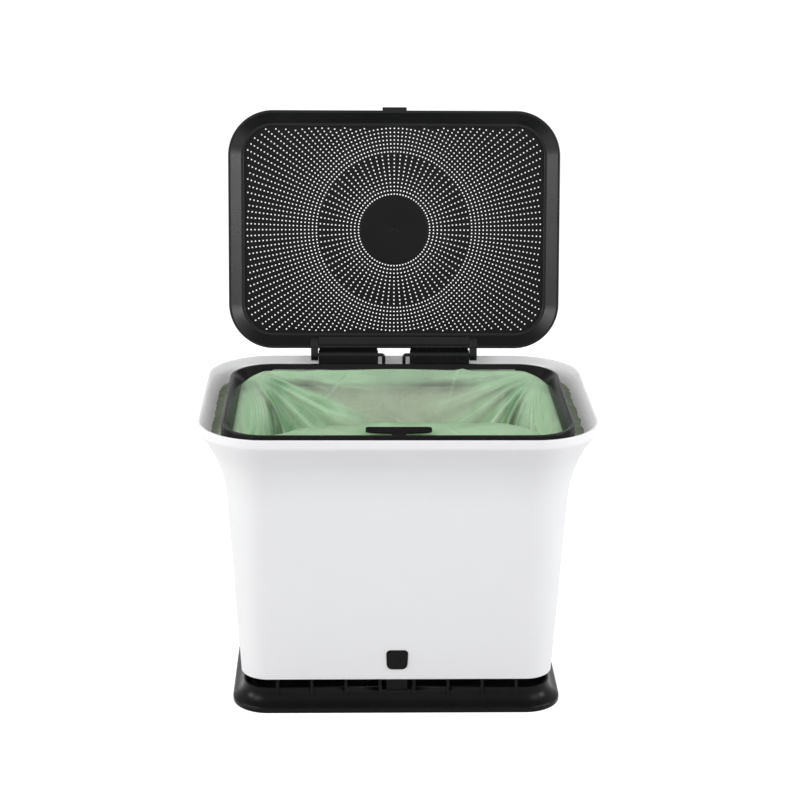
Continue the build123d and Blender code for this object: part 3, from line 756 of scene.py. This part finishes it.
def make_lid_hinge_side():
    """Front tongue, rear rail, the flaps over the knuckles, and the ears on the rods."""
    bm = bmesh.new()
    tip = LID_Y - CORE_B - LID_R
    prism(bm, box_points(-9.4, 9.4, tip - 2.5, tip + 1.0), "z", LID_Z, LID_Z + LID_EDGE)
    rail_front = LID_REAR - 9.0
    flap_low = AXIS_Z + BARREL_R + 0.35
    flap_high = flap_low + 1.5
    rail = [(rail_front, LID_Z + 1.0), (LID_REAR, LID_Z + 1.0), (LID_REAR, flap_low),
            (LID_REAR - 2.0, flap_high), (rail_front, LID_TOP_Z)]
    flap = [(LID_REAR - 3.0, flap_low - 1.0), (LID_REAR, flap_low - 1.0), (LID_REAR + 1.0, flap_low),
            (AXIS_Y + 0.8, flap_low), (AXIS_Y + 0.8, flap_high), (LID_REAR - 3.0, flap_high)]
    ear = [(rail_front + 1.0, LID_Z + 2.4), (LID_REAR - 2.5, LID_Z + 0.2)]
    ear += arc_points(AXIS_Y, AXIS_Z, 4.6, 16, -math.pi / 2, math.pi / 2)
    ear += [(LID_REAR - 4.0, LID_TOP_Z - 0.4), (rail_front + 1.0, LID_TOP_Z - 2.0)]
    prism(bm, rail, "x", -KNUCKLE_END, KNUCKLE_END)
    for flap_span, ear_span in zip(both_sides(13.0, 58.8), both_sides(59.6, 65.2)):
        prism(bm, flap, "x", *flap_span)
        prism(bm, ear, "x", *ear_span)
    turn_out(bm)
    open_lid(bm)
    hinge_side = place_mesh("lid_frame_hinge_side", bm, black_abs, 30)
    fit_piece(hinge_side, "lid", "lid_frame", 0.3)


make_lid_bevel()
make_lid_hinge_side()

# Perforated screen, in metres: rows of holes on circles, inside a rounded window
SCREEN_SIZES = {
    "Row pitch": 3.0 * MM, "First row": 28.0 * MM, "Rows": 35, "Single rows": 11, "Spokes": 76,
    "Hole radius": 0.6 * MM, "Half width": 115.4 * MM, "Half depth": 79.1 * MM, "Corner": 22.0 * MM,
    "Sheet width": 238.0 * MM, "Sheet depth": 164.5 * MM, "Sheet corner": 24.8 * MM,
    "Thickness": SCREEN_WALL * MM,
}


def screen_tree():
    """Geometry Nodes that set out the rows of holes, fill the sheet between them and thicken it."""
    t = bpy.data.node_groups.new("perforated_screen", "GeometryNodeTree")
    for name, value in SCREEN_SIZES.items():
        kind = "NodeSocketInt" if isinstance(value, int) else "NodeSocketFloat"
        t.interface.new_socket(name, in_out="INPUT", socket_type=kind)
    t.interface.new_socket("Finish", in_out="INPUT", socket_type="NodeSocketMaterial")
    t.interface.new_socket("Geometry", in_out="OUTPUT", socket_type="NodeSocketGeometry")
    given = add(t, "NodeGroupInput").outputs

    # One point for each spoke of each row; rows past the single ones have twice the spokes
    twice = add(t, MATHS, "MULTIPLY", i0=given["Spokes"], i1=2.0)
    line = add(t, "GeometryNodeMeshLine", Count=add(t, MATHS, "MULTIPLY", i0=twice, i1=given["Rows"]))
    index = add(t, "GeometryNodeInputIndex")
    row = add(t, MATHS, "ADD", i0=index, i1=0.5)
    row = add(t, MATHS, "FLOOR", i0=add(t, MATHS, "DIVIDE", i0=row, i1=twice))
    spoke = add(t, MATHS, "SUBTRACT", i0=index, i1=add(t, MATHS, "MULTIPLY", i0=row, i1=twice))
    outward = add(t, MATHS, "MULTIPLY", i0=row, i1=given["Row pitch"])
    radius = add(t, MATHS, "ADD", i0=given["First row"], i1=outward)
    angle = add(t, MATHS, "MULTIPLY", i0=spoke, i1=add(t, MATHS, "DIVIDE", i0=2 * math.pi, i1=twice))
    x = add(t, MATHS, "MULTIPLY", i0=radius, i1=add(t, MATHS, "COSINE", i0=angle))
    y = add(t, MATHS, "MULTIPLY", i0=radius, i1=add(t, MATHS, "SINE", i0=angle))
    dots = add(t, "GeometryNodeSetPosition", Geometry=line, Position=add(t, "ShaderNodeCombineXYZ", X=x, Y=y))

    # Drop odd spokes of the single rows, and points outside the rounded window
    odd = add(t, MATHS, "GREATER_THAN", i0=add(t, MATHS, "MODULO", i0=spoke, i1=2.0), i1=0.5)
    last_single = add(t, MATHS, "SUBTRACT", i0=given["Single rows"], i1=0.5)
    single = add(t, MATHS, "LESS_THAN", i0=row, i1=last_single)
    squares = []
    for place, half in ((x, given["Half width"]), (y, given["Half depth"])):
        straight = add(t, MATHS, "SUBTRACT", i0=half, i1=given["Corner"])
        past = add(t, MATHS, "SUBTRACT", i0=add(t, MATHS, "ABSOLUTE", i0=place), i1=straight)
        past = add(t, MATHS, "MAXIMUM", i0=past, i1=0.0)
        squares.append(add(t, MATHS, "MULTIPLY", i0=past, i1=past))
    far = add(t, MATHS, "SQRT", i0=add(t, MATHS, "ADD", i0=squares[0], i1=squares[1]))
    outside = add(t, MATHS, "GREATER_THAN", i0=far, i1=given["Corner"])
    gone = add(t, MATHS, "MAXIMUM", i0=add(t, MATHS, "MULTIPLY", i0=odd, i1=single), i1=outside)
    kept = add(t, "GeometryNodeDeleteGeometry", {"domain": "POINT"}, Geometry=dots, Selection=gone)

    # A circle at each point and a rounded sheet round them, filled and thickened
    ring = add(t, "GeometryNodeCurvePrimitiveCircle", {"mode": "RADIUS"}, Resolution=8,
               Radius=given["Hole radius"])
    holes = add(t, "GeometryNodeInstanceOnPoints", Points=kept, Instance=ring)
    holes = add(t, "GeometryNodeRealizeInstances", Geometry=holes)
    edge = add(t, "GeometryNodeCurvePrimitiveQuadrilateral", Width=given["Sheet width"],
               Height=given["Sheet depth"])
    edge = add(t, "GeometryNodeFilletCurve", {"mode": "POLY"}, Curve=edge, Count=16,
               Radius=given["Sheet corner"], Limit_Radius=True)
    curves = add(t, "GeometryNodeJoinGeometry", Geometry=[edge, holes])
    sheet = add(t, "GeometryNodeFillCurve", {"mode": "TRIANGLES"}, Curve=curves)
    raised = add(t, "GeometryNodeExtrudeMesh", {"mode": "FACES"}, Mesh=sheet, Offset_Scale=given["Thickness"],
                 Individual=False)
    back = add(t, "GeometryNodeFlipFaces", Mesh=sheet)
    solid = add(t, "GeometryNodeJoinGeometry", Geometry=[back, raised])
    solid = add(t, "GeometryNodeMergeByDistance", Geometry=solid, Distance=0.01 * MM)
    solid = add(t, "GeometryNodeRealizeInstances", Geometry=solid)
    painted = add(t, "GeometryNodeSetMaterial", Geometry=solid, Material=given["Finish"])
    add(t, "NodeGroupOutput", Geometry=painted)
    return t


def grown(name, tree, sizes, material):
    """Evaluate a Geometry Nodes tree once with its sizes, and keep its mesh."""
    holder = bpy.data.objects.new(name, bpy.data.meshes.new(name + "_start"))
    bpy.context.scene.collection.objects.link(holder)
    m = holder.modifiers.new("grow", "NODES")
    m.node_group = tree
    values = {**sizes, "Finish": material}
    for item in tree.interface.items_tree:
        if item.in_out == "INPUT":
            m[item.identifier] = values[item.name]
    bpy.context.view_layer.update()
    me = bpy.data.meshes.new_from_object(holder.evaluated_get(bpy.context.evaluated_depsgraph_get()))
    holder.modifiers.clear()
    holder.data = me
    me.materials.clear()
    me.materials.append(material)
    return holder


def add_disc(bm, side):
    """Solid centre disc with a rounded edge and a small gate mark, on one face of the screen."""
    seat_z = SCREEN_Z + (SCREEN_WALL if side > 0 else 0.0)
    profile = [(DISC_R, -0.2), (DISC_R, 0.1), (DISC_R - 0.1, 0.3), (DISC_R - 0.4, 0.46), (DISC_R - 0.9, 0.5),
               (3.4, 0.5), (3.1, 0.42), (2.9, 0.2), (1.4, 0.2), (1.1, 0.4), (0.5, 0.5)]
    rows = []
    for r, h in profile:
        z = seat_z + side * h
        angles = [a * math.pi / 32 for a in range(64)]
        rows.append([bm.verts.new((r * math.cos(a), LID_Y + r * math.sin(a), z)) for a in angles])
    for a, b in zip(rows, rows[1:]):
        for i in range(64):
            j = (i + 1) % 64
            bm.faces.new((a[i], a[j], b[j], b[i]) if side > 0 else (a[i], b[i], b[j], a[j]))
    bm.faces.new(rows[-1] if side > 0 else list(reversed(rows[-1])))


def make_screen():
    """The perforated panel: it sits in the lid frame's step."""
    screen = grown("lid_screen_perforated", screen_tree(), SCREEN_SIZES, black_screen)
    bm = in_millimetres(screen.data)
    for v in bm.verts:
        v.co = Vector((v.co.x, v.co.y + LID_Y, v.co.z + SCREEN_Z))
    add_disc(bm, 1)
    add_disc(bm, -1)
    for f in bm.faces:
        f.material_index = 0
    open_lid(bm)
    write_back(bm, screen.data, 35)
    fit_piece(screen, "lid", "lid_screen")


make_screen()

# The bag's film in its natural slack: over the frame's flange, its edge hanging
# outside, gathered into pleats at the rear corners, pillowed at the front
FILM_Z = RING_LOW - 0.4
BAG_DEPTH = FILM_Z - 36.4
# The line along which places on the lip are measured, the film inside the ring, and the foot of its wall
LIP_LINE = 22.0
FILM_IN_R = 22.2
FILM_FOOT_R = 8.4
# Offset and height of the hem, from its free edge up to the flange: round the sides, and behind the rear wall
HEM = [(36.6, 197.8), (38.0, 199.6), (39.2, 201.4), (40.0, 203.0), (40.2, 204.5), (38.6, 205.8),
       (35.2, 206.4), (31.4, 206.4)]
HEM_BACK = [(33.1, 197.2), (33.1, 198.6), (33.1, 200.2), (33.1, 201.8), (33.1, 203.4), (33.0, 205.0),
            (32.6, 206.2), (31.2, 206.4)]
# Inward travel and height of the front's pillow, from the lip to the floor
PILLOW = [(0, 0), (3, 3.0), (8, 5.0), (15, 6.2), (23, 6.8), (30, 6.0), (35, 3.0), (37.5, -3), (36, -14),
          (30, -34), (24, -60), (19, -100), (16, -BAG_DEPTH)]
# How high the pillow stands along the front, by place from left to right
PILLOW_HEIGHT = [(-112, -1.0), (-97, -0.5), (-88, 0.0), (-77, 0.3), (-46, 0.62), (-20, 1.0), (20, 1.08),
                 (75, 1.0), (92, 0.62), (104, 0.1), (112, -1.2)]
# Pleats from each rear corner: angle off straight down towards the rear run, height and half width in degrees
PLEATS_LEFT = [(-62, 2.0, 8), (-44, 2.6, 7), (-28, 3.2, 6), (-14, 3.0, 5), (-2, 3.4, 5), (9, 3.6, 5),
               (20, 8.5, 6), (44, 3.8, 3), (60, 4.0, 3.5), (77, 2.0, 4)]
PLEATS_RIGHT = [(-58, 2.4, 7), (-40, 3.0, 6), (-24, 3.6, 5), (-10, 3.2, 4.5), (4, 4.0, 4.5), (19, 6.5, 5.5),
                (36, 4.4, 4), (52, 3.0, 4), (67, 3.2, 4), (80, 1.8, 5)]


def between(table, x):
    """Read a value from a table of (place, value), with straight lines between its rows."""
    if x <= table[0][0]:
        return table[0][1]
    for (a, u), (b, v) in zip(table, table[1:]):
        if x <= b:
            return u + (v - u) * (x - a) / (b - a)
    return table[-1][1]


def along(line, t):
    """Point at a share of a line's length."""
    lengths = [math.dist(a, b) for a, b in zip(line, line[1:])]
    left = t * sum(lengths)
    for (a, b), d in zip(zip(line, line[1:]), lengths):
        if left <= d or (a, b) == (line[-2], line[-1]):
            f = min(left / d, 1.0)
            return (a[0] + (b[0] - a[0]) * f, a[1] + (b[1] - a[1]) * f)
        left -= d


def tent(x, centre, half):
    """From 1 at a centre straight down to 0 at half a width."""
    return max(0.0, 1 - abs(x - centre) / half)


def pleats_height(table, angle):
    """Height of the pleats at an angle: crests with sharp crowns."""
    out = 0.0
    for centre, height, half in table:
        u = abs(angle - centre) / half
        if u < 2.4:
            out += height * math.exp(-u ** 1.2)
    return out


def shell_limit(z):
    """How far out the film may go, a little inside the sleeve."""
    a = math.asin(min(1.0, max(0.0, (z - FLARE_Z) / FLARE_RADIUS + math.sin(DRAFT))))
    return flare_point(a, SHELL_WALL)[0] - 0.9


def hem_points(column, run):
    """The crumpled edge, hanging outside the frame: the place, layers and fold of each point."""
    cx, cy, nx, ny = column
    back = ease(0.3, 0.8, ny)
    points = []
    for k, (side, rear) in enumerate(zip(HEM, HEM_BACK)):
        r = side[0] + (rear[0] - side[0]) * back
        z = side[1] + (rear[1] - side[1]) * back
        loose = (1 - k / (len(HEM) - 1)) ** 0.5 * (1 - 0.8 * back)
        seat = Vector((cx + r * nx, cy + r * ny, z))
        crumple = noise.noise(seat * 0.16) * 1.7 + noise.noise(seat * 0.42 + Vector((7, 3, 1))) * 1.2
        crease = abs(noise.noise(Vector((run * 0.09, k * 0.35, 2.0)))) * -2.4
        r = min(r + (crumple * 0.6 + crease * 0.4) * loose, shell_limit(z))
        place = Vector((cx + r * nx, cy + r * ny, z + (crumple + crease) * 0.75 * loose))
        points.append((place, 0.1 - 0.35 * crease * loose, (0, 0, -loose)))
    return points


def onto_pillow(p, column, x_lip, t, front):
    """Draw a point of the front wall onto the pillow of slack, which narrows and sinks towards its ends."""
    cx, cy, nx, ny = column
    height = between(PILLOW_HEIGHT, x_lip)
    inward, up = along(PILLOW, t)
    inward *= 0.2 + 0.8 * ease(114.0, 60.0, abs(x_lip - 8.0)) ** 0.6
    if up > 0:
        up *= max(height, 0.0)
        up += min(height, 0.0) * inward * 0.35
    pillow = Vector((cx + FILM_IN_R * nx, cy + FILM_IN_R * ny + inward, FILM_Z + up))
    return p.lerp(pillow, front)


def corner_folds(p, film_layers_and_shade, streak, sx, s, depth):
    """Drape the film across a rear corner, gather it into pleats, and paint their highlight and shade into
    its layers.
    sx is the corner's side, and s the place along the lip from the corner's middle, counted towards the rear
    run."""
    far = math.hypot(s, depth + 1.0)
    if far >= 150:
        return p, film_layers_and_shade, streak
    table = PLEATS_LEFT if sx < 0 else PLEATS_RIGHT
    drape = ease(0, 42, far) * math.exp(-(s / 34.0) ** 2) * math.exp(-depth / 110.0)
    p += Vector((-sx, -1, 0)).normalized() * 9.5 * drape
    angle = math.degrees(math.atan2(s, depth + 1.0))
    strength = ease(1, 26, far) * (1 - ease(48, 125, far)) * ease(-95, -60, angle) * (1 - ease(84, 96, angle))
    crest = pleats_height(table, angle)
    p += (Vector((-sx * 0.6, -0.8, 0)) if angle > 10 else Vector((-sx * 0.85, -0.5, 0))) * crest * strength
    # Crests are painted lighter and the film between them darker, through its layers: painted highlight and
    # shade on the pleats
    beyond = ease(14, 28, angle)
    crest_shading_single = 0.14 * min(crest, 3.5) - 0.2
    crest_shading_double = 0.42 - 0.17 * min(crest, 3.5)
    film_layers_and_shade += (crest_shading_single * beyond + crest_shading_double * (1 - beyond)) * strength
    # Just past each crest the film doubles back under it, and is painted darker there: painted shade
    valley_shade = max(pleats_height(table, angle - 4.5) - crest, 0.0)
    valley_shade += 0.5 * max(pleats_height(table, angle - 9.0) - crest, 0.0)
    film_layers_and_shade += 0.3 * min(valley_shade, 3.0) * strength
    # The wall beyond the main crest lies double, and is painted darker with the crest's shadow: painted shade
    film_layers_and_shade += (0.7 if sx < 0 else 0.4) * ease(22, 28, angle) * (1 - ease(64, 76, angle)) * strength
    if strength > streak[2]:
        # One fine fold to about 4.5 degrees, drawn out over about 83 mm, apart for each corner
        streak = (angle * 0.22, far * 0.012 + 20 * sx, strength * (1 - 0.6 * ease(20, 30, angle)))
    return p, film_layers_and_shade, streak


def wall_points(column, corner_runs, steps):
    """The film inside, from the ring down to the bag's floor: a drape that leans in, the pillow and the
    pleats. corner_runs holds each rear corner's side and the place along the lip from its middle."""
    cx, cy, nx, ny = column
    x_lip = cx + LIP_LINE * nx
    rise = rear_rise(x_lip, cy + LIP_LINE * ny)
    film_top = FILM_Z + (RING_REAR_LOW - RING_LOW) * rise
    front = ease(0.45, 0.98, -ny)
    lip_r = FILM_IN_R + 2.9 * rise
    # Three small peaks along the rear edge
    peak = 1.3 * math.exp(-(x_lip / 38.0) ** 2)
    peak += 1.7 * tent(x_lip, 54.0, 7.0) + 0.8 * tent(x_lip, -60.0, 14.0)
    points = []
    # Over the flange, and at the rear over the frame's upright wall
    for r, z in ((28.4, FILM_Z + (film_top - FILM_Z) * 0.05), (28.3, film_top), (25.6, film_top)):
        points.append((Vector((cx + r * nx, cy + r * ny, z)), 0.7, (0, 0, 0)))
    for t in steps:
        depth = t * (BAG_DEPTH + (film_top - FILM_Z))
        r = lip_r + (FILM_FOOT_R - lip_r) * t
        lean = (1 - math.exp(-depth / 16.0)) * math.exp(-depth / 95.0)
        p = Vector((cx + r * nx, cy + r * ny, film_top - depth))
        # Two or more layers at the sides, the front and the rear edge, one in the middle of the rear wall
        ragged = depth + 7.0 * noise.noise(Vector((x_lip * 0.022, 3.0, depth * 0.02)))
        single = ease(0.5, 0.9, ny) * ease(113, 86, abs(x_lip)) * ease(4.0, 17.0, ragged)
        film_layers_and_shade = 0.82 - 0.78 * single
        p.z += peak * rise * math.exp(-depth / 5.0)
        p -= Vector((nx, ny, 0)) * (4.0 * lean + 5.5 * lean * max(ny, 0.0))
        if front > 0:
            p = onto_pillow(p, column, x_lip, t, front)
        streak = (0, 0, 0)
        for sx, s in corner_runs:
            p, film_layers_and_shade, streak = corner_folds(p, film_layers_and_shade, streak, sx, s, depth)
        swell = noise.noise(p * 0.03 + Vector((3, 1, 8))) * 3.2
        swell += noise.noise(p * 0.075 + Vector((1, 9, 2))) * 1.3
        crinkle = noise.noise(p * 0.22 + Vector((5, 2, 4))) * 0.32
        slack = ease(2, 22, depth) * (1 - ease(0.75, 1.0, t))
        p -= Vector((nx, ny, 0)) * (max(swell + 0.6, 0.0) + crinkle) * slack
        if front > 0.2:
            hills = noise.noise(Vector((p.x * 0.05, p.y * 0.06, 4.0))) * 1.2
            hills += noise.noise(Vector((p.x * 0.16, p.y * 0.1, 9.0))) * 0.5
            p.z += hills * ease(0.02, 0.1, t) * front
        points.append((p, film_layers_and_shade, streak))
    return points


def lip_runs(lip):
    """Length round the bag along its lip, at each point, and in all."""
    runs, total = [], 0.0
    for i, p in enumerate(lip):
        runs.append(total)
        total += math.dist(p[:2], lip[(i + 1) % len(lip)][:2])
    return runs, total


def wrapped(s, total):
    """A place along the lip, the short way round."""
    if s > total / 2:
        return s - total
    return s + total if s < -total / 2 else s


def close_rows(bm, low, high):
    """Quads between two closed rows of points."""
    for i in range(len(low)):
        j = (i + 1) % len(low)
        bm.faces.new((low[i], high[i], high[j], low[j]))


def bag_steps():
    """Shares of the wall's depth, close together at the lip and wider below."""
    steps = [0.0]
    while steps[-1] < 1.0:
        steps.append(steps[-1] + 0.0046 * 1.035 ** len(steps))
    return [s / steps[-1] for s in steps]


def make_bag():
    xs = [-92.8 + 1.6 * k for k in range(117)]
    ys = [-56.0 + 2.0 * k for k in range(57)]
    columns = outline(0.0, 26, xs, ys)
    runs, total = lip_runs(outline(LIP_LINE, 26, xs, ys))
    half_right = math.sqrt(0.5)
    middle = {}
    for sx in (-1, 1):
        off = [abs(nx * sx - half_right) + abs(ny - half_right) for _, _, nx, ny in columns]
        middle[sx] = runs[off.index(min(off))]
    steps = bag_steps()

    bm = bmesh.new()
    # The layers attribute carries the film's thickness and the pleats' painted highlight and shade
    layers = bm.verts.layers.float.new("layers")
    fold = bm.verts.layers.float_vector.new("fold")
    rows = [[] for _ in range(len(HEM) + 3 + len(steps))]
    for column, run in zip(columns, runs):
        corner_runs = [(sx, wrapped((run - middle[sx]) * sx, total)) for sx in (-1, 1)]
        points = hem_points(column, run) + wall_points(column, corner_runs, steps)
        for row, (p, film_layers_and_shade, streak) in zip(rows, points):
            v = bm.verts.new(p)
            v[layers] = film_layers_and_shade
            v[fold] = streak
            row.append(v)
    for a, b in zip(rows, rows[1:]):
        close_rows(bm, a, b)

    # Soft floor of the bag
    last = rows[-1]
    for k in (0.82, 0.62, 0.4, 0.2):
        row = []
        for v in rows[-1]:
            x, y = v.co.x * k, v.co.y * k
            dent = abs(noise.noise(Vector((x * 0.05, y * 0.05, 1.0))))
            row.append(bm.verts.new((x, y, v.co.z + 0.3 + 0.9 * dent)))
            row[-1][layers] = 0.8
        close_rows(bm, last, row)
        last = row
    bm.faces.new(list(reversed(last)))
    # The wall is softened once, from just below the lip to just above the floor
    loose = [v for row in rows[len(HEM) + 5:-2] for v in row]
    bmesh.ops.smooth_vert(bm, verts=loose, factor=0.5, use_axis_x=True, use_axis_y=True, use_axis_z=True)
    bag = place_mesh("film_bag", bm, compostable_film, 180)
    fit_piece(bag, "bin", "liner_bag")


make_bag()


def seen_rays(t):
    """1 for the rays that see the white background: from the camera, off gloss and through film."""
    path = add(t, "ShaderNodeLightPath").outputs
    seen = add(t, MATHS, "MAXIMUM", i0=path["Is Camera Ray"], i1=path["Is Glossy Ray"])
    return add(t, MATHS, "MAXIMUM", i0=seen, i1=path["Is Transmission Ray"])


def make_floor():
    """A pale floor, in metres: it keeps the bin's shadow, and glows for the rays that see the background."""
    left, right, near, far = -14, 14, -6, 22
    me = bpy.data.meshes.new("studio_floor")
    me.from_pydata([(left, near, 0), (right, near, 0), (right, far, 0), (left, far, 0)], [], [(0, 1, 2, 3)])
    floor = bpy.data.objects.new("studio_floor", me)
    bpy.context.scene.collection.objects.link(floor)
    m, t = start_material("studio_floor_white")
    matt = add(t, "ShaderNodeBsdfDiffuse", Color=linear("#dcdcdc"))
    glow = add(t, "ShaderNodeEmission", Color=(1, 1, 1, 1), Strength=0.54)
    dark = add(t, "ShaderNodeEmission", Color=(0, 0, 0, 1), Strength=0.0)
    extra = add(t, "ShaderNodeMixShader", Fac=seen_rays(t), i1=dark, i2=glow)
    add(t, "ShaderNodeOutputMaterial", Surface=add(t, "ShaderNodeAddShader", i0=matt, i1=extra))
    me.materials.append(m)


def make_world():
    """A dim white sky that lights the bin, seen as white walls with a dark ceiling above them."""
    world = bpy.data.worlds.new("studio_world")
    bpy.context.scene.world = world
    world.use_nodes = True
    t = world.node_tree
    t.nodes.clear()
    place = add(t, "ShaderNodeTexCoord").outputs["Generated"]
    height = add(t, "ShaderNodeSeparateXYZ", Vector=place).outputs["Z"]
    wall = add(t, MAP, SMOOTH, Value=height, From_Min=0.6, From_Max=0.9, To_Min=1.0, To_Max=0.25)
    dim = add(t, "ShaderNodeBackground", Color=(1, 1, 1, 1), Strength=0.66)
    white = add(t, "ShaderNodeBackground", Color=(1, 1, 1, 1), Strength=wall)
    mix = add(t, "ShaderNodeMixShader", Fac=seen_rays(t), i1=dim, i2=white)
    add(t, "ShaderNodeOutputWorld", Surface=mix)


def softbox(name, place, aim_height, size, power, tint="#ffffff"):
    """A square lamp in metres and watts, aimed at a height above the bin's middle."""
    lamp = bpy.data.lights.new(name, "AREA")
    lamp.shape = "RECTANGLE"
    lamp.size = size
    lamp.size_y = size
    lamp.energy = power
    lamp.color = linear(tint)[:3]
    o = bpy.data.objects.new(name, lamp)
    o.location = place
    aim = Vector((0, 0, aim_height))
    o.rotation_euler = (aim - Vector(place)).to_track_quat("-Z", "Y").to_euler()
    bpy.context.scene.collection.objects.link(o)


make_floor()
make_world()
# The high pair lights the sleeve and the film; the side pair shines along the lid's side bevels
softbox("left_high_softbox", (-1.3, -1.05, 1.05), 0.2, 0.8, 13)
softbox("right_high_softbox", (1.25, -1.15, 1.0), 0.2, 0.8, 10, "#f6f8ff")
softbox("left_softbox", (-1.8, -0.44, 0.68), 0.3, 0.5, 13)
softbox("right_softbox", (1.8, -0.44, 0.68), 0.3, 0.5, 15)


def make_camera():
    """The photograph's camera, solved from the edges of the rim, ring, base and lid."""
    width_px, focal_px = 800, 1933.56
    yaw, pitch, roll = math.radians(1.49), math.radians(-17.51), math.radians(0.46)
    ahead = Vector((math.sin(yaw) * math.cos(pitch), math.cos(yaw) * math.cos(pitch), math.sin(pitch)))
    level_right = Vector((math.cos(yaw), -math.sin(yaw), 0))
    level_up = level_right.cross(ahead)
    right = level_right * math.cos(roll) + level_up * math.sin(roll)
    up = level_up * math.cos(roll) - level_right * math.sin(roll)
    cam = bpy.data.cameras.new("photo_camera")
    cam.sensor_fit = "HORIZONTAL"
    cam.sensor_width = 36.0
    cam.lens = focal_px / width_px * cam.sensor_width
    cam.clip_start = 0.05
    cam.clip_end = 50
    o = bpy.data.objects.new("photo_camera", cam)
    m = Matrix((right, up, -ahead)).transposed().to_4x4()
    m.translation = Vector((-32.97, -1366.69, 645.32)) * MM
    o.matrix_world = m
    bpy.context.scene.collection.objects.link(o)
    bpy.context.scene.camera = o


make_camera()
bpy.context.scene.view_settings.view_transform = "Standard"
